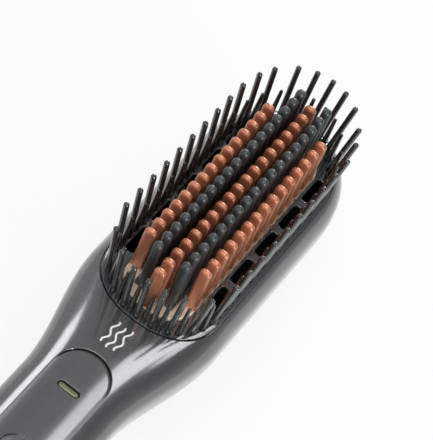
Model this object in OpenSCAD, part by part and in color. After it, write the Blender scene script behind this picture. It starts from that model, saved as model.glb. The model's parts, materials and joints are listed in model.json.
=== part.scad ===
// Hot air styler with a heated comb block.
// It lies on its back: +X runs to the tip of the head, +Z is the way the teeth point.
// The origin is under the middle of the whole object, on the surface that it lies on.

/* [Overall] */
// Length from the cord gland to the tip of the head
overall_l = 310; // [306:1:330]
// Thickness of the body, from its back to the brush plate
body_h = 34; // [31:0.5:37]
// Height of the upper housing above the parting line
crown_h = 9.7; // [9.4:0.1:10.2]
// Wall of both housings
wall = 2.2; // [1.8:0.1:2.4]
// Gap round a piece that drops into a pocket
fit = 0.15; // [0.1:0.05:0.25]

/* [Head] */
// Width of the head
head_w = 50; // [50:0.5:54]
// Length of the rounded tip of the head
tip_l = 31; // [29:1:33]
// Length over which the handle widens into the head
neck_l = 46; // [42:1:50]
// From the middle of the teeth to the tip of the head
teeth_to_tip = 56.6; // [56:0.2:60]
// From the middle of the teeth to the wide end of the neck
teeth_to_neck = 32.4; // [31:0.2:34]
// Width of the shoulder between the widest line and the brush plate
rim_w = 4.2; // [3.9:0.1:4.3]
// Length of the rounded heel of the brush plate
heel_l = 18.1; // [17.8:0.1:19]
// From the middle of the teeth to where the heel's curve begins
teeth_to_heel = 30.4; // [30:0.2:31.4]
// Share of the back's width that lies flat
back_flat = 0.32; // [0.25:0.01:0.4]

/* [Handle] */
// Width of the handle in front of the control panel
handle_w = 34; // [33.5:0.5:35]
// Width of the handle at its tail
tail_w = 33; // [32.5:0.5:35]

/* [Brush plate] */
// Thickness of the brush plate
plate_t = 2.2; // [2:0.1:2.6]
// Width of the ledge that carries the brush plate
ledge_w = 1; // [0.8:0.1:1.2]
// Height of that ledge
ledge_h = 2; // [1.5:0.1:2.5]
// Air slots on each side
slot_n = 5; // [4:1:5]
// Distance from one air slot to the next
slot_pitch = 13.8; // [13.2:0.1:14.2]
// Length of an air slot
slot_l = 10.6; // [9:0.1:11]
// Width of an air slot
slot_w = 3.2; // [2.8:0.1:3.2]
// Strip of plate between the heating plate's opening and a slot
slot_web = 0.9; // [0.8:0.1:1]
// From the middle of the teeth to the middle of the slots
slot_shift = 3.2; // [2:0.1:4]

/* [Outer pins] */
// Diameter of a pin
pin_d = 2; // [1.8:0.1:2.1]
// Height of a long pin above the brush plate
pin_h = 24; // [20:0.5:26]
// Height of a short pin above the brush plate
short_pin_h = 14.5; // [10:0.5:16]
// Distance from one long pin to the next along a side
pin_pitch = 6.9; // [6.6:0.1:7]
// Long pins along each side
side_pins = 11; // [9:2:11]
// Step of the long pins across the heel
heel_step = 5.2; // [5:0.1:5.3]
// Step of the long pins across the tip
tip_step = 4.8; // [4.7:0.1:4.9]
// From the edge of the brush plate to the middle of a pin
pin_inset = 2.4; // [2.3:0.1:2.5]
// Outward lean of the long pins along the sides, in degrees
side_flare = 5; // [3:0.5:6]
// Outward lean of the long pins at the heel and the tip, in degrees
end_flare = 7; // [5:0.5:8]
// Thickness of the ring that the pins grow from
pin_ring_t = 1.4; // [1.2:0.1:1.6]

/* [Teeth] */
// Distance from one tooth to the next
tooth_pitch = 4.6; // [4.4:0.05:4.7]
// Distance from one row of teeth to the next
row_gap = 5.1; // [5:0.05:5.2]
// Teeth in the middle copper comb
middle_teeth = 19; // [17:2:19]
// Teeth in each outer copper comb
outer_teeth = 15; // [13:2:15]
// Teeth in each cool comb
cool_teeth = 18; // [16:2:18]
// Width of a copper tooth across the head
tooth_w = 4.4; // [4:0.1:4.6]
// Thickness of a copper tooth at its foot, along the head
tooth_t = 3.2; // [2.8:0.1:3.5]
// Thickness of a copper tooth near its tip
tooth_tip_t = 2.3; // [2:0.1:2.6]
// Height of a copper tooth above the heating plate
tooth_h = 19.2; // [16:0.2:21]
// Height of the bar that joins the teeth of a comb
bar_h = 1.6; // [1.2:0.1:2.4]
// Diameter of a cool tooth
cool_d = 3.3; // [3:0.1:3.6]
// How far the cool teeth stand above the copper ones
cool_rise = 3.8; // [3:0.1:4.5]
// Diameter of a comb's locating pegs
peg_d = 2.4; // [2:0.1:2.8]

/* [Heating plate] */
// How far the heating plate stands above the brush plate
hot_proud = 1; // [0.6:0.1:1.4]
// Gap between the heating plate and the brush plate
hot_gap = 0.3; // [0.2:0.05:0.4]
// Length of the heating plate's rounded heel
hot_heel_l = 9.7; // [9.4:0.1:10]
// Length of the heating plate's rounded tip
hot_tip_l = 11; // [10.8:0.1:12]
// Width of the flange that holds the heating plate down
hot_flange_w = 0.9; // [0.7:0.1:1]
// Thickness of that flange
hot_flange_t = 1.4; // [1.2:0.1:1.8]

/* [Control panel] */
// Width of the control panel
panel_w = 18.6; // [18:0.2:20]
// Length of the control panel
panel_l = 104; // [98:1:110]
// Thickness of the control panel along its middle
panel_t = 2.4; // [2.3:0.1:2.6]
// From the middle of the teeth to the rounded front of the panel
teeth_to_panel = 65.3; // [64:0.1:67]
// Thickness of the tray under the panel
tray_t = 1.6; // [1.4:0.1:1.8]
// From the front of the panel to the indicator lens
panel_to_lens = 14.7; // [12:0.1:16]
// Length of the lens, across the handle
lens_l = 8.3; // [7:0.1:9]
// Width of the lens, along the handle
lens_w = 2.3; // [2:0.1:2.6]
// Diameter of a button
button_d = 9.2; // [8:0.1:10]
// Distance from one button to the next
button_pitch = 20; // [18:0.5:21]
// How far a button stands proud
button_proud = 0.5; // [0.3:0.1:0.8]
// Travel of a button
button_travel = 0.5; // [0.3:0.05:0.5]

/* [Blower] */
// Gap between the air path and the circuit board
board_clear = 0.3; // [0.2:0.1:0.8]
// Gap between the shroud and the side walls of the tail
side_clear = 2.9; // [2.9:0.1:4]
// Wall of the shroud
shroud_t = 1; // [0.8:0.1:1.2]
// Length of the shroud
shroud_l = 42; // [40:1:45]
// Gap between the impeller and the shroud
blade_gap = 0.4; // [0.3:0.1:0.8]
// Blades of the impeller
blade_n = 9; // [7:1:11]
// Vanes of the stator
vane_n = 7; // [5:1:9]
// Outer diameter of the motor
motor_d = 12.8; // [12:0.1:13]
// Length of the motor can
motor_l = 22; // [20:0.5:23]
// Diameter of the motor's shaft
shaft_d = 2; // [1.8:0.1:2.2]
// Running gap between the shaft and its bearings
shaft_gap = 0.03; // [0.02:0.01:0.05]
// Thickness of the rubber rings round the shroud
ring_t = 0.6; // [0.5:0.1:0.7]

/* [Air heater] */
// How much slimmer the heater tube is than the shroud
tube_less = 0.2; // [0.1:0.1:0.6]
// Length of the heater tube
tube_l = 58; // [54:1:60]
// Wall of the heater tube
tube_t = 0.5; // [0.4:0.1:0.8]
// Thickness of the mica
mica_t = 0.8; // [0.6:0.1:1]
// Diameter of the heater wire
wire_d = 0.8; // [0.7:0.05:0.9]
// Turns of the heater coil
coil_turns = 7; // [6:1:8]
// Wall of the air duct
duct_t = 1; // [0.8:0.1:1.2]

/* [Plate heater] */
// Thickness of the plate heater
ptc_t = 4; // [3.5:0.1:4.5]
// Width of the plate heater
ptc_w = 14; // [12:0.5:16]
// Length of the plate heater
ptc_l = 65; // [60:1:66]
// Thickness of the insulating sheet under it
sheet_t = 0.4; // [0.3:0.1:0.6]
// Thickness of the heater frame
frame_t = 1.6; // [1.4:0.1:2]
// Width of the heater frame
frame_w = 21; // [20:0.5:22]
// Width of the arms that carry the heater frame
arm_w = 3; // [2.6:0.1:3.2]

/* [Electronics] */
// Thickness of the circuit board
board_t = 1.2; // [1:0.1:1.2]
// Width of the circuit board
board_w = 18; // [17:0.5:19]
// Length of the circuit board
board_l = 88; // [84:1:90]
// Height of a key switch's body
switch_h = 1.7; // [1.5:0.1:1.8]
// Length of the ion module
ion_l = 24; // [20:1:26]
// Width of the ion module
ion_w = 16; // [14:1:18]
// Gap between the ion needles and the heater frame
needle_gap = 3.2; // [2:0.1:5]

/* [Tail] */
// How far the intake grille's flange lies inside the back and the crown
grille_in = 1.4; // [1.2:0.1:2]
// Length of the grille's dome behind the housings
grille_l = 20.2; // [18:0.2:22]
// Slots in the grille
grille_slots = 16; // [12:1:18]
// Width of a grille slot
grille_slot_w = 2.4; // [1.8:0.1:2.6]
// Bore for the cord
cord_bore_d = 6.4; // [5:0.1:6.6]
// Diameter of the gland's journal
journal_d = 10; // [9.8:0.1:10.4]
// Running gap of the journal
journal_gap = 0.05; // [0.03:0.01:0.08]
// Diameter of the hanging loop's rod
loop_rod_d = 2.4; // [2:0.1:2.6]

/* [Screws] */
// Shank diameter of the housing screws
screw_d = 2.4; // [2.2:0.1:2.6]
// Head diameter of the housing screws
screw_head_d = 4.4; // [4:0.1:4.6]
// Length of the housing screws under the head
screw_l = 15; // [13:0.5:15]
// Shank diameter of the small screws
small_screw_d = 1.6; // [1.4:0.1:1.8]
// Head diameter of the small screws
small_head_d = 3.2; // [2.8:0.1:3.4]

/* [Hidden] */
$fn = 48;
eps = 1;                                // how far a cutter runs past a face
top_z = body_h;
part_z = body_h - crown_h;              // parting line, the widest part of the body
plate_z = top_z - plate_t;              // underside of the brush plate

// Places along the body
tip_x = overall_l / 2;
tail_x = -overall_l / 2;
teeth_x = tip_x - teeth_to_tip;
tip_c = tip_x - tip_l;                  // where the tip's curve begins
neck_x1 = teeth_x - teeth_to_neck;
neck_x0 = neck_x1 - neck_l;
deck_x0 = neck_x0 + 15;                 // the crown flattens into the deck from here
deck_l = neck_l - 13;
nose_l = 2;                             // gland behind its collar
collar_l = 4.6;
collar_gap = 0.2;
grille_x = tail_x + nose_l + collar_l + collar_gap;
shell_x = grille_x + grille_l;          // tail end of the housings
tail_z = body_h / 2;                    // axis of the grille and the gland

// Body surface
neck_steps = 16;
tip_steps = 16;
level_steps = 9;
tip_power = 2.12;
heel_power = 2.3;
crown_flat = 0.13;                      // flat strip along the handle's crown
handle_crown_power = 2.3;
head_crown_power = 2;
handle_back_power = 2.2;
head_back_power = 2.7;
roof_share = 0.86;                      // the roof's thickness as a share of the wall
round_in = 2.05;                        // how far the shoulder's rounding reaches over the plate
stations = concat(
    [shell_x],
    [for (i = [0:neck_steps]) neck_x0 + neck_l * i / neck_steps],
    [tip_c]);

// Brush plate and pins
seam_hw = head_w / 2 - rim_w;
seam_tip_l = tip_l - rim_w;
heel_c = teeth_x - teeth_to_heel;
pin_hw = seam_hw - pin_inset;
pin_heel_l = heel_l - pin_inset;
pin_tip_l = seam_tip_l - pin_inset;
pin_mid_x = teeth_x + 2.1;
heel_pins = 3;                          // long pins from the middle of the heel to one side
tip_pins = 3;                           // the same at the tip
pin_hole_d = pin_d + 0.2;
ring_in = 0.35;                         // bare strip of the ring inside the pins
ring_out = 0.2;
pin_root = 0.5;                         // how deep the pins start inside the ring

// Heating plate and combs
hot_hw = 2 * row_gap + tooth_w / 2 + 0.1;
hot_z = top_z + hot_proud;
hot_half_l = (outer_teeth - 1) / 2 * tooth_pitch + 1.6;
hot_c0 = teeth_x - hot_half_l;
hot_c1 = teeth_x + hot_half_l;
hot_under_z = plate_z - hot_flange_t;
peg_l = 3;
peg_x = 5 * tooth_pitch;
peg_gap = 0.05;
slot_y = hot_hw + hot_gap + slot_web + slot_w / 2;
slot_x0 = teeth_x + slot_shift - (slot_n - 1) / 2 * slot_pitch;
slot_r = 1.2;
web_x = [slot_x0 + slot_pitch / 2, slot_x0 + (slot_n - 1.5) * slot_pitch];

// Plate heater, hung under the brush plate
ring_z = plate_z - pin_ring_t;
ptc_z = hot_under_z - ptc_t;
frame_z = ptc_z - sheet_t - frame_t;
frame_l = ptc_l + 8;
arm_z = min(ring_z, hot_under_z);
arm_t = 1.8;
arm_reach = pin_hw + 0.6;
boss_r = 1.6;
heater_screw_l = arm_t + pin_ring_t + 0.8;
small_head_t = 1.2;
sensor_d = 2;
screw_gap = 0.05;

// Control panel
panel_x1 = teeth_x - teeth_to_panel;
panel_x0 = panel_x1 - panel_l;
panel_z = top_z - panel_t;
tray_z = panel_z - tray_t;
tray_rim = 1.2;
lens_x = panel_x1 - panel_to_lens;
button_x = [for (i = [0:2]) lens_x - 26 - i * button_pitch];
button_gap = 0.3;
flange_t = 0.5;
flange_w = 1;
stem_d = 3.6;
button_cover = 1.2;                     // panel left above a button's flange
flange_z = top_z - button_cover - 0.1 - flange_t;

// Circuit board
board_gap = 2.8;                        // from the tray down to the board
board_z = tray_z - board_gap - board_t;
board_top = board_z + board_t;
board_x1 = panel_x1 - 6;
board_x0 = board_x1 - board_l;
post_xy = [for (x = [board_x0 + 5, board_x1 - 5], y = [-1, 1]) [x, y * (board_w / 2 - 2.2)]];
post_d = 4;
plunger_h = 0.4;
stem_z = board_top + switch_h + plunger_h + 0.1 + button_travel;
led_h = 1.6;

// Air path
shroud_d = min(                         // the room under the board or between the side walls
    board_z - board_clear - wall - 0.2 - ring_t + tube_less / 2,
    tail_w - 2 * wall - 2 * side_clear);
tube_d = shroud_d - tube_less;
impeller_d = shroud_d - 2 * shroud_t - 2 * blade_gap;
air_z = board_z - board_clear - tube_d / 2;
shroud_x = shell_x + 10;
shroud_x1 = shroud_x + shroud_l;
impeller_x = shroud_x + 3;
impeller_l = 9;
hub_x = impeller_x + impeller_l + 2;
hub_t = 0.6;
motor_x = hub_x + hub_t;
motor_r = motor_d / 2;
can_t = 0.6;
bearing_d = 4.6;
bearing_l = 1.6;
tube_x1 = neck_x0 + 22;
tube_x0 = tube_x1 - tube_l;
duct_x0 = shroud_x1 - 4;
spigot_l = 5;
sleeve_l = 8;
sleeve_t = 0.8;
coil_r = tube_d / 2 - tube_t - 1.05;
mica_hw = coil_r - wire_d / 2 - 0.15;
mica_tab_hw = tube_d / 2 - tube_t - 0.1;
mica_tab_l = 2;
mica_x0 = tube_x0 + spigot_l + 1;
mica_x1 = tube_x1 - 4;
coil_l = mica_x1 - mica_x0 - 2 * mica_tab_l - 4;
saddle_t = 1.6;
saddle_gap = 0.1;
saddles = [                             // ribs that carry the air path: place and diameter
    [shroud_x + 4, shroud_d + 2 * ring_t],
    [shroud_x + 34, shroud_d + 2 * ring_t],
    [duct_x0 + sleeve_l + 10, tube_d],
    [tube_x0 - 8, tube_d],
    [tube_x0 + 14, tube_d],
    [tube_x1 - 6, tube_d]];
ion_x0 = teeth_x + 6;
ion_x1 = ion_x0 + ion_l;
ion_z = wall + 3;
needle_l = 8;
ion_h = frame_z - ion_z - needle_l - needle_gap;

// Housing screws: neck, middle of the head, tip
screw_inset = 5.2;
screw_x = [neck_x0 + 28, teeth_x + 3.2, tip_c + 12];
screw_boss_r = 3.2;
screw_seat_z = part_z + 4.8 - screw_l;
screw_head_t = 1.6;
pilot_top_z = part_z + 5.2;

// Grille, gland and loop
grille_side = 0.9;                      // how far the grille's flange lies inside the sides
grille_d = min(body_h - 2 * grille_in, tail_w - 2 * grille_side);
spigot_d = grille_d - 5.6;
spigot_in = 6;                          // how far the grille reaches into the housings
filter_x = shell_x + 4.5;
filter_bore_d = cord_bore_d + 1.6;      // the cord passes through the filter
hub_l = 11;
collar_r = 6.6;
clip_t = 0.9;
trunnion_d = 2.4;
trunnion_gap = 0.05;
loop_x = grille_x - collar_gap - 2.6;
loop_y = 8.4;
loop_eye_d = 4.6;
loop_eye_w = 2.6;
loop_leg = 5;

// Curves

function mix(a, b, t) = a + (b - a) * t;

// The n numbers from the first one up, in steps of 1.
function count(n, first) = [for (i = [0:n - 1]) i + first];

// Eases from 0 to 1 over the same range of t.
function ease(t) = let (u = max(0, min(1, t))) u * u * (3 - 2 * u);

function neck_share(x) = ease((x - neck_x0) / neck_l);

function deck_share(x) = ease((x - deck_x0) / deck_l);

// Half width of the body at its widest line, shrunk by e, without the handle's taper.
function half_w(x, e) = mix(handle_w, head_w, neck_share(x)) / 2 - e;

// What the taper adds to the half width; it is negative towards a narrower tail.
function taper(x) = (tail_w - handle_w) / 2 * max(0, (neck_x0 - x) / (neck_x0 - shell_x));

// Share of the half width that the crown has at height h, where 1 is the top.
function crown_share(x, h) =
    let (s = deck_share(x))
    let (flat = mix(crown_flat, 1 - (rim_w + round_in) / (head_w / 2), s))
    let (n = mix(handle_crown_power, head_crown_power, s))
    flat + (1 - flat) * pow(max(0, 1 - pow(h, n)), 1 / n);

// The same for the back at depth g, where 1 is the face that it rests on.
function back_share(x, g) =
    let (n = mix(handle_back_power, head_back_power, neck_share(x)))
    pow(1 - (1 - pow(back_flat, n)) * pow(g, n), 1 / n);

function share(up, x, level) = up ? crown_share(x, level) : back_share(x, level);

// One side of the body's outline at a level, from the tail to the tip.
function side_line(up, level, e) = concat(
    [for (x = stations) [max(x, shell_x + e), half_w(x, e) * share(up, x, level) + taper(x)]],
    [for (i = [1:tip_steps])
        let (a = 90 - 90 * i / tip_steps, w = (head_w / 2 - e) * share(up, tip_c, level))
        [tip_c + (tip_l - head_w / 2 + w) * pow(cos(a), 2 / tip_power),
            w * pow(sin(a), 2 / tip_power)]]);

function closed_line(side) = concat(
    [for (p = side) [p[0], -p[1]]],
    [for (i = [len(side) - 2:-1:0]) side[i]]);

// Levels of the crown (from the parting line up) and of the back (from its face up).
// The cutter's levels run a little past the parting line.
function crown_levels(e) = concat(
    e > 0 ? [[part_z - eps, 0]] : [],
    [for (i = [0:level_steps])
        let (h = pow(sin(90 * i / level_steps), 0.93))
        [part_z + (crown_h - roof_share * e) * h, h]]);

function back_levels(e) = concat(
    [for (i = [level_steps:-1:0])
        let (g = pow(sin(90 * i / level_steps), 0.85))
        [part_z - (part_z - e) * g, g]],
    e > 0 ? [[part_z + eps, 0]] : []);

// Solid of one half of the body, shrunk by e.
module body_half(up, e) {
    levels = up ? crown_levels(e) : back_levels(e);
    lines = [for (l = levels) closed_line(side_line(up, l[1], e))];
    n = len(lines[0]);
    tip = (n - 1) / 2;
    top = len(levels) - 1;
    points = [for (j = [0:top], p = lines[j]) [p[0], p[1], levels[j][0]]];
    walls = [for (j = [0:top - 1], i = [0:n - 1])
        let (k = (i + 1) % n)
        each [[j * n + i, (j + 1) * n + i, (j + 1) * n + k],
            [j * n + i, (j + 1) * n + k, j * n + k]]];
    cap = concat(
        [for (i = [0:tip - 2]) [i, i + 1, n - 2 - i, n - 1 - i]],
        [[tip - 1, tip, tip + 1]]);
    polyhedron(points, concat(
        cap,
        walls,
        [for (f = cap) [for (i = [len(f) - 1:-1:0]) top * n + f[i]]]));
}

// Outline of an oval: heel of length la at xa, tip of length lb at xb, half width w.
function oval(xa, la, xb, lb, w, heel_n, tip_n) =
    let (steps = 16)
    let (side = concat(
        [for (i = [0:steps])
            let (a = 90 * i / steps)
            [xa - la * pow(cos(a), 2 / heel_n), w * pow(sin(a), 2 / heel_n)]],
        [for (i = [0:steps])
            let (a = 90 - 90 * i / steps)
            [xb + lb * pow(cos(a), 2 / tip_n), w * pow(sin(a), 2 / tip_n)]]))
    concat(
        [for (i = [0:len(side) - 1]) [side[i][0], -side[i][1]]],
        [for (i = [len(side) - 2:-1:1]) side[i]]);

// The brush plate's outline, shrunk by e.
module seam_shape(e) {
    polygon(oval(heel_c, heel_l - e, tip_c, seam_tip_l - e, seam_hw - e, heel_power, tip_power));
}

// The heating plate's outline, grown by e.
module hot_shape(e) {
    polygon(oval(hot_c0, hot_heel_l + e, hot_c1, hot_tip_l + e, hot_hw + e, 2, 2));
}

module slab(z, h) {
    translate([0, 0, z])
        linear_extrude(h)
            children();
}

// Rectangle with quarter-round corners, centred.
module rounded(l, w, r) {
    square([l - 2 * r, w], center = true);
    square([l, w - 2 * r], center = true);
    for (x = [-1, 1], y = [-1, 1])
        translate([x * (l / 2 - r), y * (w / 2 - r)])
            circle(r);
}

// Long shape with round ends from x0 to x1.
module stadium(x0, x1, w) {
    steps = 12;
    polygon(concat(
        [for (i = [0:steps]) [x1 - w / 2 + w / 2 * sin(180 * i / steps), -w / 2 * cos(180 * i / steps)]],
        [for (i = [0:steps]) [x0 + w / 2 - w / 2 * sin(180 * i / steps), w / 2 * cos(180 * i / steps)]]));
}

// Solid turned about an axis along X at height z; the points are [radius, x].
module turned(z, points) {
    translate([0, 0, z])
        rotate([0, 90, 0])
            rotate_extrude()
                polygon(points);
}

// Round bar along X from x0 to x1.
module bar_x(x0, x1, y, z, d) {
    translate([x0, y, z])
        rotate([0, 90, 0])
            cylinder(h = x1 - x0, d = d);
}

// Hollow round bar along X.
module tube_x(x0, x1, z, d, bore) {
    difference() {
        bar_x(x0, x1, 0, z, d);
        bar_x(x0 - eps, x1 + eps, 0, z, bore);
    }
}

// Box from one corner to the other.
module box(low, high) {
    translate(low)
        cube(high - low);
}

// Centres of the housing screws
screw_xy = [for (x = screw_x, y = [-1, 1]) [x, y * screw_line(x)]];

function screw_line(x) =
    (x < tip_c ? half_w(x, 0)
        : head_w / 2 * pow(1 - pow((x - tip_c) / tip_l, tip_power), 1 / tip_power)) - screw_inset;

// Pins: each place is [x, y, direction, lean, height above the plate]

function pin_row_y(x) =
    x < heel_c ? pin_hw * pow(1 - pow((heel_c - x) / pin_heel_l, heel_power), 1 / heel_power)
    : x > tip_c ? pin_hw * pow(1 - pow((x - tip_c) / pin_tip_l, tip_power), 1 / tip_power)
    : pin_hw;

function heel_x(y) =
    heel_c - pin_heel_l * pow(1 - pow(y / pin_hw, heel_power), 1 / heel_power);

function pin_tip_x(y) =
    tip_c + pin_tip_l * pow(1 - pow(y / pin_hw, tip_power), 1 / tip_power);

// Outward direction of the ring of pins at a point on its +Y side.
function outward(x, y) =
    x < heel_c ? atan2(pow(y / pin_hw, heel_power - 1) / pin_hw,
        -pow((heel_c - x) / pin_heel_l, heel_power - 1) / pin_heel_l)
    : x > tip_c ? atan2(pow(y / pin_hw, tip_power - 1) / pin_hw,
        pow((x - tip_c) / pin_tip_l, tip_power - 1) / pin_tip_l)
    : 90;

function pin_at(x, y, h, flare) =
    let (a = outward(x, y))
    [x, y, a, flare * mix(side_flare, end_flare, abs(cos(a))), h];

side_x = [for (i = [0:side_pins - 1]) pin_mid_x + (i - (side_pins - 1) / 2) * pin_pitch];
heel_corner_x = (side_x[0] + heel_x(heel_pins * heel_step)) / 2;
tip_corner_x = (side_x[side_pins - 1] + pin_tip_x(tip_pins * tip_step)) / 2;

long_side = concat(
    [for (x = side_x) pin_at(x, pin_row_y(x), pin_h, 1)],
    [for (y = heel_step * count(heel_pins, 1)) pin_at(heel_x(y), y, pin_h, 1)],
    [for (y = tip_step * count(tip_pins, 1)) pin_at(pin_tip_x(y), y, pin_h, 1)]);

short_side = concat(
    [for (i = [0:side_pins - 2])
        let (x = side_x[i] + pin_pitch / 2)
        pin_at(x, pin_row_y(x), short_pin_h, 0)],
    [for (x = [heel_corner_x, tip_corner_x]) pin_at(x, pin_row_y(x), short_pin_h, 0)],
    [for (y = heel_step * count(heel_pins, 0.5)) pin_at(heel_x(y), y, short_pin_h, 0)],
    [for (y = tip_step * count(tip_pins, 0.5)) pin_at(pin_tip_x(y), y, short_pin_h, 0)]);

end_middle = [
    [heel_x(0), 0, 180, end_flare, pin_h],
    [pin_tip_x(0), 0, 0, end_flare, pin_h]];

pin_places = concat(
    end_middle,
    long_side,
    [for (p = long_side) [p[0], -p[1], -p[2], p[3], p[4]]],
    short_side,
    [for (p = short_side) [p[0], -p[1], -p[2], p[3], p[4]]]);

// Puts its children at a pin's place, leaning with it.
module at_pin(p) {
    translate([p[0], p[1], top_z])
        rotate([0, p[3], p[2]])
            rotate([0, 0, -p[2]])
                children();
}

// Housings

module upper_housing() {
    color([0.36, 0.37, 0.375])
    difference() {
        body_half(true, 0);
        difference() {
            body_half(true, wall);
            slab(plate_z - ledge_h, ledge_h + eps)
                difference() {
                    seam_shape(-1.4);
                    seam_shape(ledge_w);
                }
            slab(tray_z, tray_t + eps)
                stadium(panel_x0 - tray_rim, panel_x1 + tray_rim, panel_w + 2 * tray_rim);
            for (p = post_xy)
                translate([p[0], p[1], board_top])
                    cylinder(h = board_gap + eps, d = post_d);
            for (p = screw_xy)
                translate([p[0], p[1], part_z - eps])
                    cylinder(h = ring_z - 0.2 - part_z + eps, r = screw_boss_r, $fn = 12);
        }
        slab(plate_z, plate_t + eps)
            seam_shape(0);
        slab(ring_z - 0.1, pin_ring_t + eps)
            seam_shape(ledge_w);
        slab(panel_z, panel_t + eps)
            stadium(panel_x0 - fit, panel_x1 + fit, panel_w + 2 * fit);
        for (x = button_x)
            translate([x, 0, tray_z - eps])
                cylinder(h = tray_t + 2 * eps, d = stem_d + 2 * button_gap);
        slab(tray_z - eps, tray_t + 2 * eps)
            translate([lens_x, 0])
                rounded(lens_w + 2 * fit, lens_l + 2 * fit, lens_w / 2);
        for (p = post_xy)
            translate([p[0], p[1], board_top - eps])
                cylinder(h = board_gap + eps - 0.4, d = small_screw_d + 2 * screw_gap);
        for (p = screw_xy)
            translate([p[0], p[1], part_z - eps])
                cylinder(h = pilot_top_z - part_z + eps, d = screw_d + 2 * screw_gap);
        bar_x(shell_x - eps, shell_x + wall + 0.5, 0, tail_z, spigot_d + 2 * fit);
    }
}

module lower_housing() {
    color([0.34, 0.35, 0.355])
    difference() {
        body_half(false, 0);
        difference() {
            body_half(false, wall);
            for (s = saddles) {
                difference() {
                    box([s[0] - saddle_t / 2, -handle_w, 0], [s[0] + saddle_t / 2, handle_w, air_z]);
                    bar_x(s[0] - eps, s[0] + eps, 0, air_z, s[1] + 2 * saddle_gap);
                }
            }
            for (p = screw_xy)
                translate([p[0], p[1], 0])
                    cylinder(h = part_z + 2 * eps, r = screw_boss_r, $fn = 12);
            for (x = [ion_x0 + 3, ion_x1 - 3])
                box([x - 1, -ion_w / 2, 0], [x + 1, ion_w / 2, ion_z]);
        }
        for (p = screw_xy) {
            translate([p[0], p[1], -eps])
                cylinder(h = screw_seat_z + eps, d = screw_head_d + 0.4);
            translate([p[0], p[1], screw_seat_z - eps])
                cylinder(h = part_z, d = screw_d + 0.3);
        }
        bar_x(shell_x - eps, shell_x + wall + 0.5, 0, tail_z, spigot_d + 2 * fit);
    }
}

module housing_screws() {
    color("silver")
    for (p = screw_xy)
        translate([p[0], p[1], screw_seat_z]) {
            cylinder(h = screw_l, d = screw_d);
            translate([0, 0, -screw_head_t])
                difference() {
                    cylinder(h = screw_head_t, d = screw_head_d);
                    translate([0, 0, -eps])
                        cylinder(h = eps + 0.8, d = 2, $fn = 6);
                }
        }
}

// Brush plate and pins

module brush_plate() {
    color([0.09, 0.095, 0.1])
    difference() {
        union() {
            intersection() {
                body_half(true, 0);
                slab(plate_z, plate_t + eps)
                    seam_shape(fit);
            }
            for (x = web_x, y = [-slot_y, slot_y])
                translate([x, y, ring_z])
                    cylinder(h = pin_ring_t + 0.5, r = boss_r);
        }
        slab(plate_z - eps, plate_t + 2 * eps)
            hot_shape(hot_gap);
        for (i = [0:slot_n - 1], y = [-slot_y, slot_y])
            translate([slot_x0 + i * slot_pitch, y, plate_z - eps])
                linear_extrude(plate_t + 2 * eps)
                    rounded(slot_l, slot_w, slot_r);
        for (p = pin_places)
            at_pin(p)
                translate([0, 0, -plate_t - eps])
                    cylinder(h = plate_t + 2 * eps, d = pin_hole_d, $fn = 24);
        for (x = web_x, y = [-slot_y, slot_y])
            translate([x, y, ring_z - eps])
                cylinder(h = pin_ring_t + eps + 1, d = small_screw_d + 2 * screw_gap);
    }
}

module pin_frame() {
    color([0.07, 0.07, 0.075]) {
        slab(ring_z, pin_ring_t)
            difference() {
                seam_shape(pin_inset - pin_d / 2 - ring_out);
                seam_shape(pin_inset + pin_d / 2 + ring_in);
            }
        for (p = pin_places)
            at_pin(p) {
                translate([0, 0, -plate_t - pin_root])
                    cylinder(h = p[4] / cos(p[3]) - pin_d / 2 + plate_t + pin_root,
                        d = pin_d, $fn = 24);
                translate([0, 0, p[4] / cos(p[3]) - pin_d / 2])
                    sphere(d = pin_d, $fn = 24);
            }
    }
}

// Heating plate and combs

module heating_plate() {
    color([0.86, 0.76, 0.66])
    difference() {
        union() {
            slab(hot_under_z, hot_z - hot_under_z)
                hot_shape(0);
            slab(hot_under_z, hot_flange_t)
                hot_shape(hot_flange_w);
        }
        for (x = [-peg_x, peg_x], row = [-2:2])
            translate([teeth_x + x, row * row_gap, hot_z - peg_l - 0.2])
                cylinder(h = peg_l + eps, d = peg_d + 2 * peg_gap);
    }
}

// Bar under a comb's teeth, with its two pegs; the teeth run from first to last.
module comb_bar(y, first, last, w) {
    box([teeth_x + first * tooth_pitch - tooth_t / 2, y - w / 2, hot_z],
        [teeth_x + last * tooth_pitch + tooth_t / 2, y + w / 2, hot_z + bar_h]);
    for (x = [-peg_x, peg_x])
        translate([teeth_x + x, y, hot_z - peg_l])
            cylinder(h = peg_l + bar_h / 2, d = peg_d);
}

// Tongue-shaped tooth, round-topped seen both ways; its foot is at the origin.
module copper_tooth() {
    intersection() {
        rotate([90, 0, 90])
            translate([0, 0, -tooth_t])
                linear_extrude(2 * tooth_t) {
                    polygon([[-tooth_w / 2, 0], [tooth_w / 2, 0],
                        [tooth_w / 2 - 0.2, tooth_h - tooth_w / 2],
                        [-tooth_w / 2 + 0.2, tooth_h - tooth_w / 2]]);
                    translate([0, tooth_h - tooth_w / 2 + 0.2])
                        circle(tooth_w / 2 - 0.2);
                }
        rotate([90, 0, 0])
            translate([0, 0, -tooth_w])
                linear_extrude(2 * tooth_w) {
                    polygon([[-tooth_t / 2, 0], [tooth_t / 2, 0],
                        [tooth_tip_t / 2, tooth_h - tooth_tip_t / 2],
                        [-tooth_tip_t / 2, tooth_h - tooth_tip_t / 2]]);
                    translate([0, tooth_h - tooth_tip_t / 2])
                        circle(tooth_tip_t / 2);
                }
    }
}

module copper_comb(y, n) {
    color([0.72, 0.42, 0.28]) {
        comb_bar(y, -(n - 1) / 2, (n - 1) / 2, tooth_w);
        for (i = [-(n - 1) / 2:(n - 1) / 2])
            translate([teeth_x + i * tooth_pitch, y, hot_z])
                copper_tooth();
    }
}

module copper_comb_middle() {
    copper_comb(0, middle_teeth);
}

module copper_comb_left() {
    copper_comb(2 * row_gap, outer_teeth);
}

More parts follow.
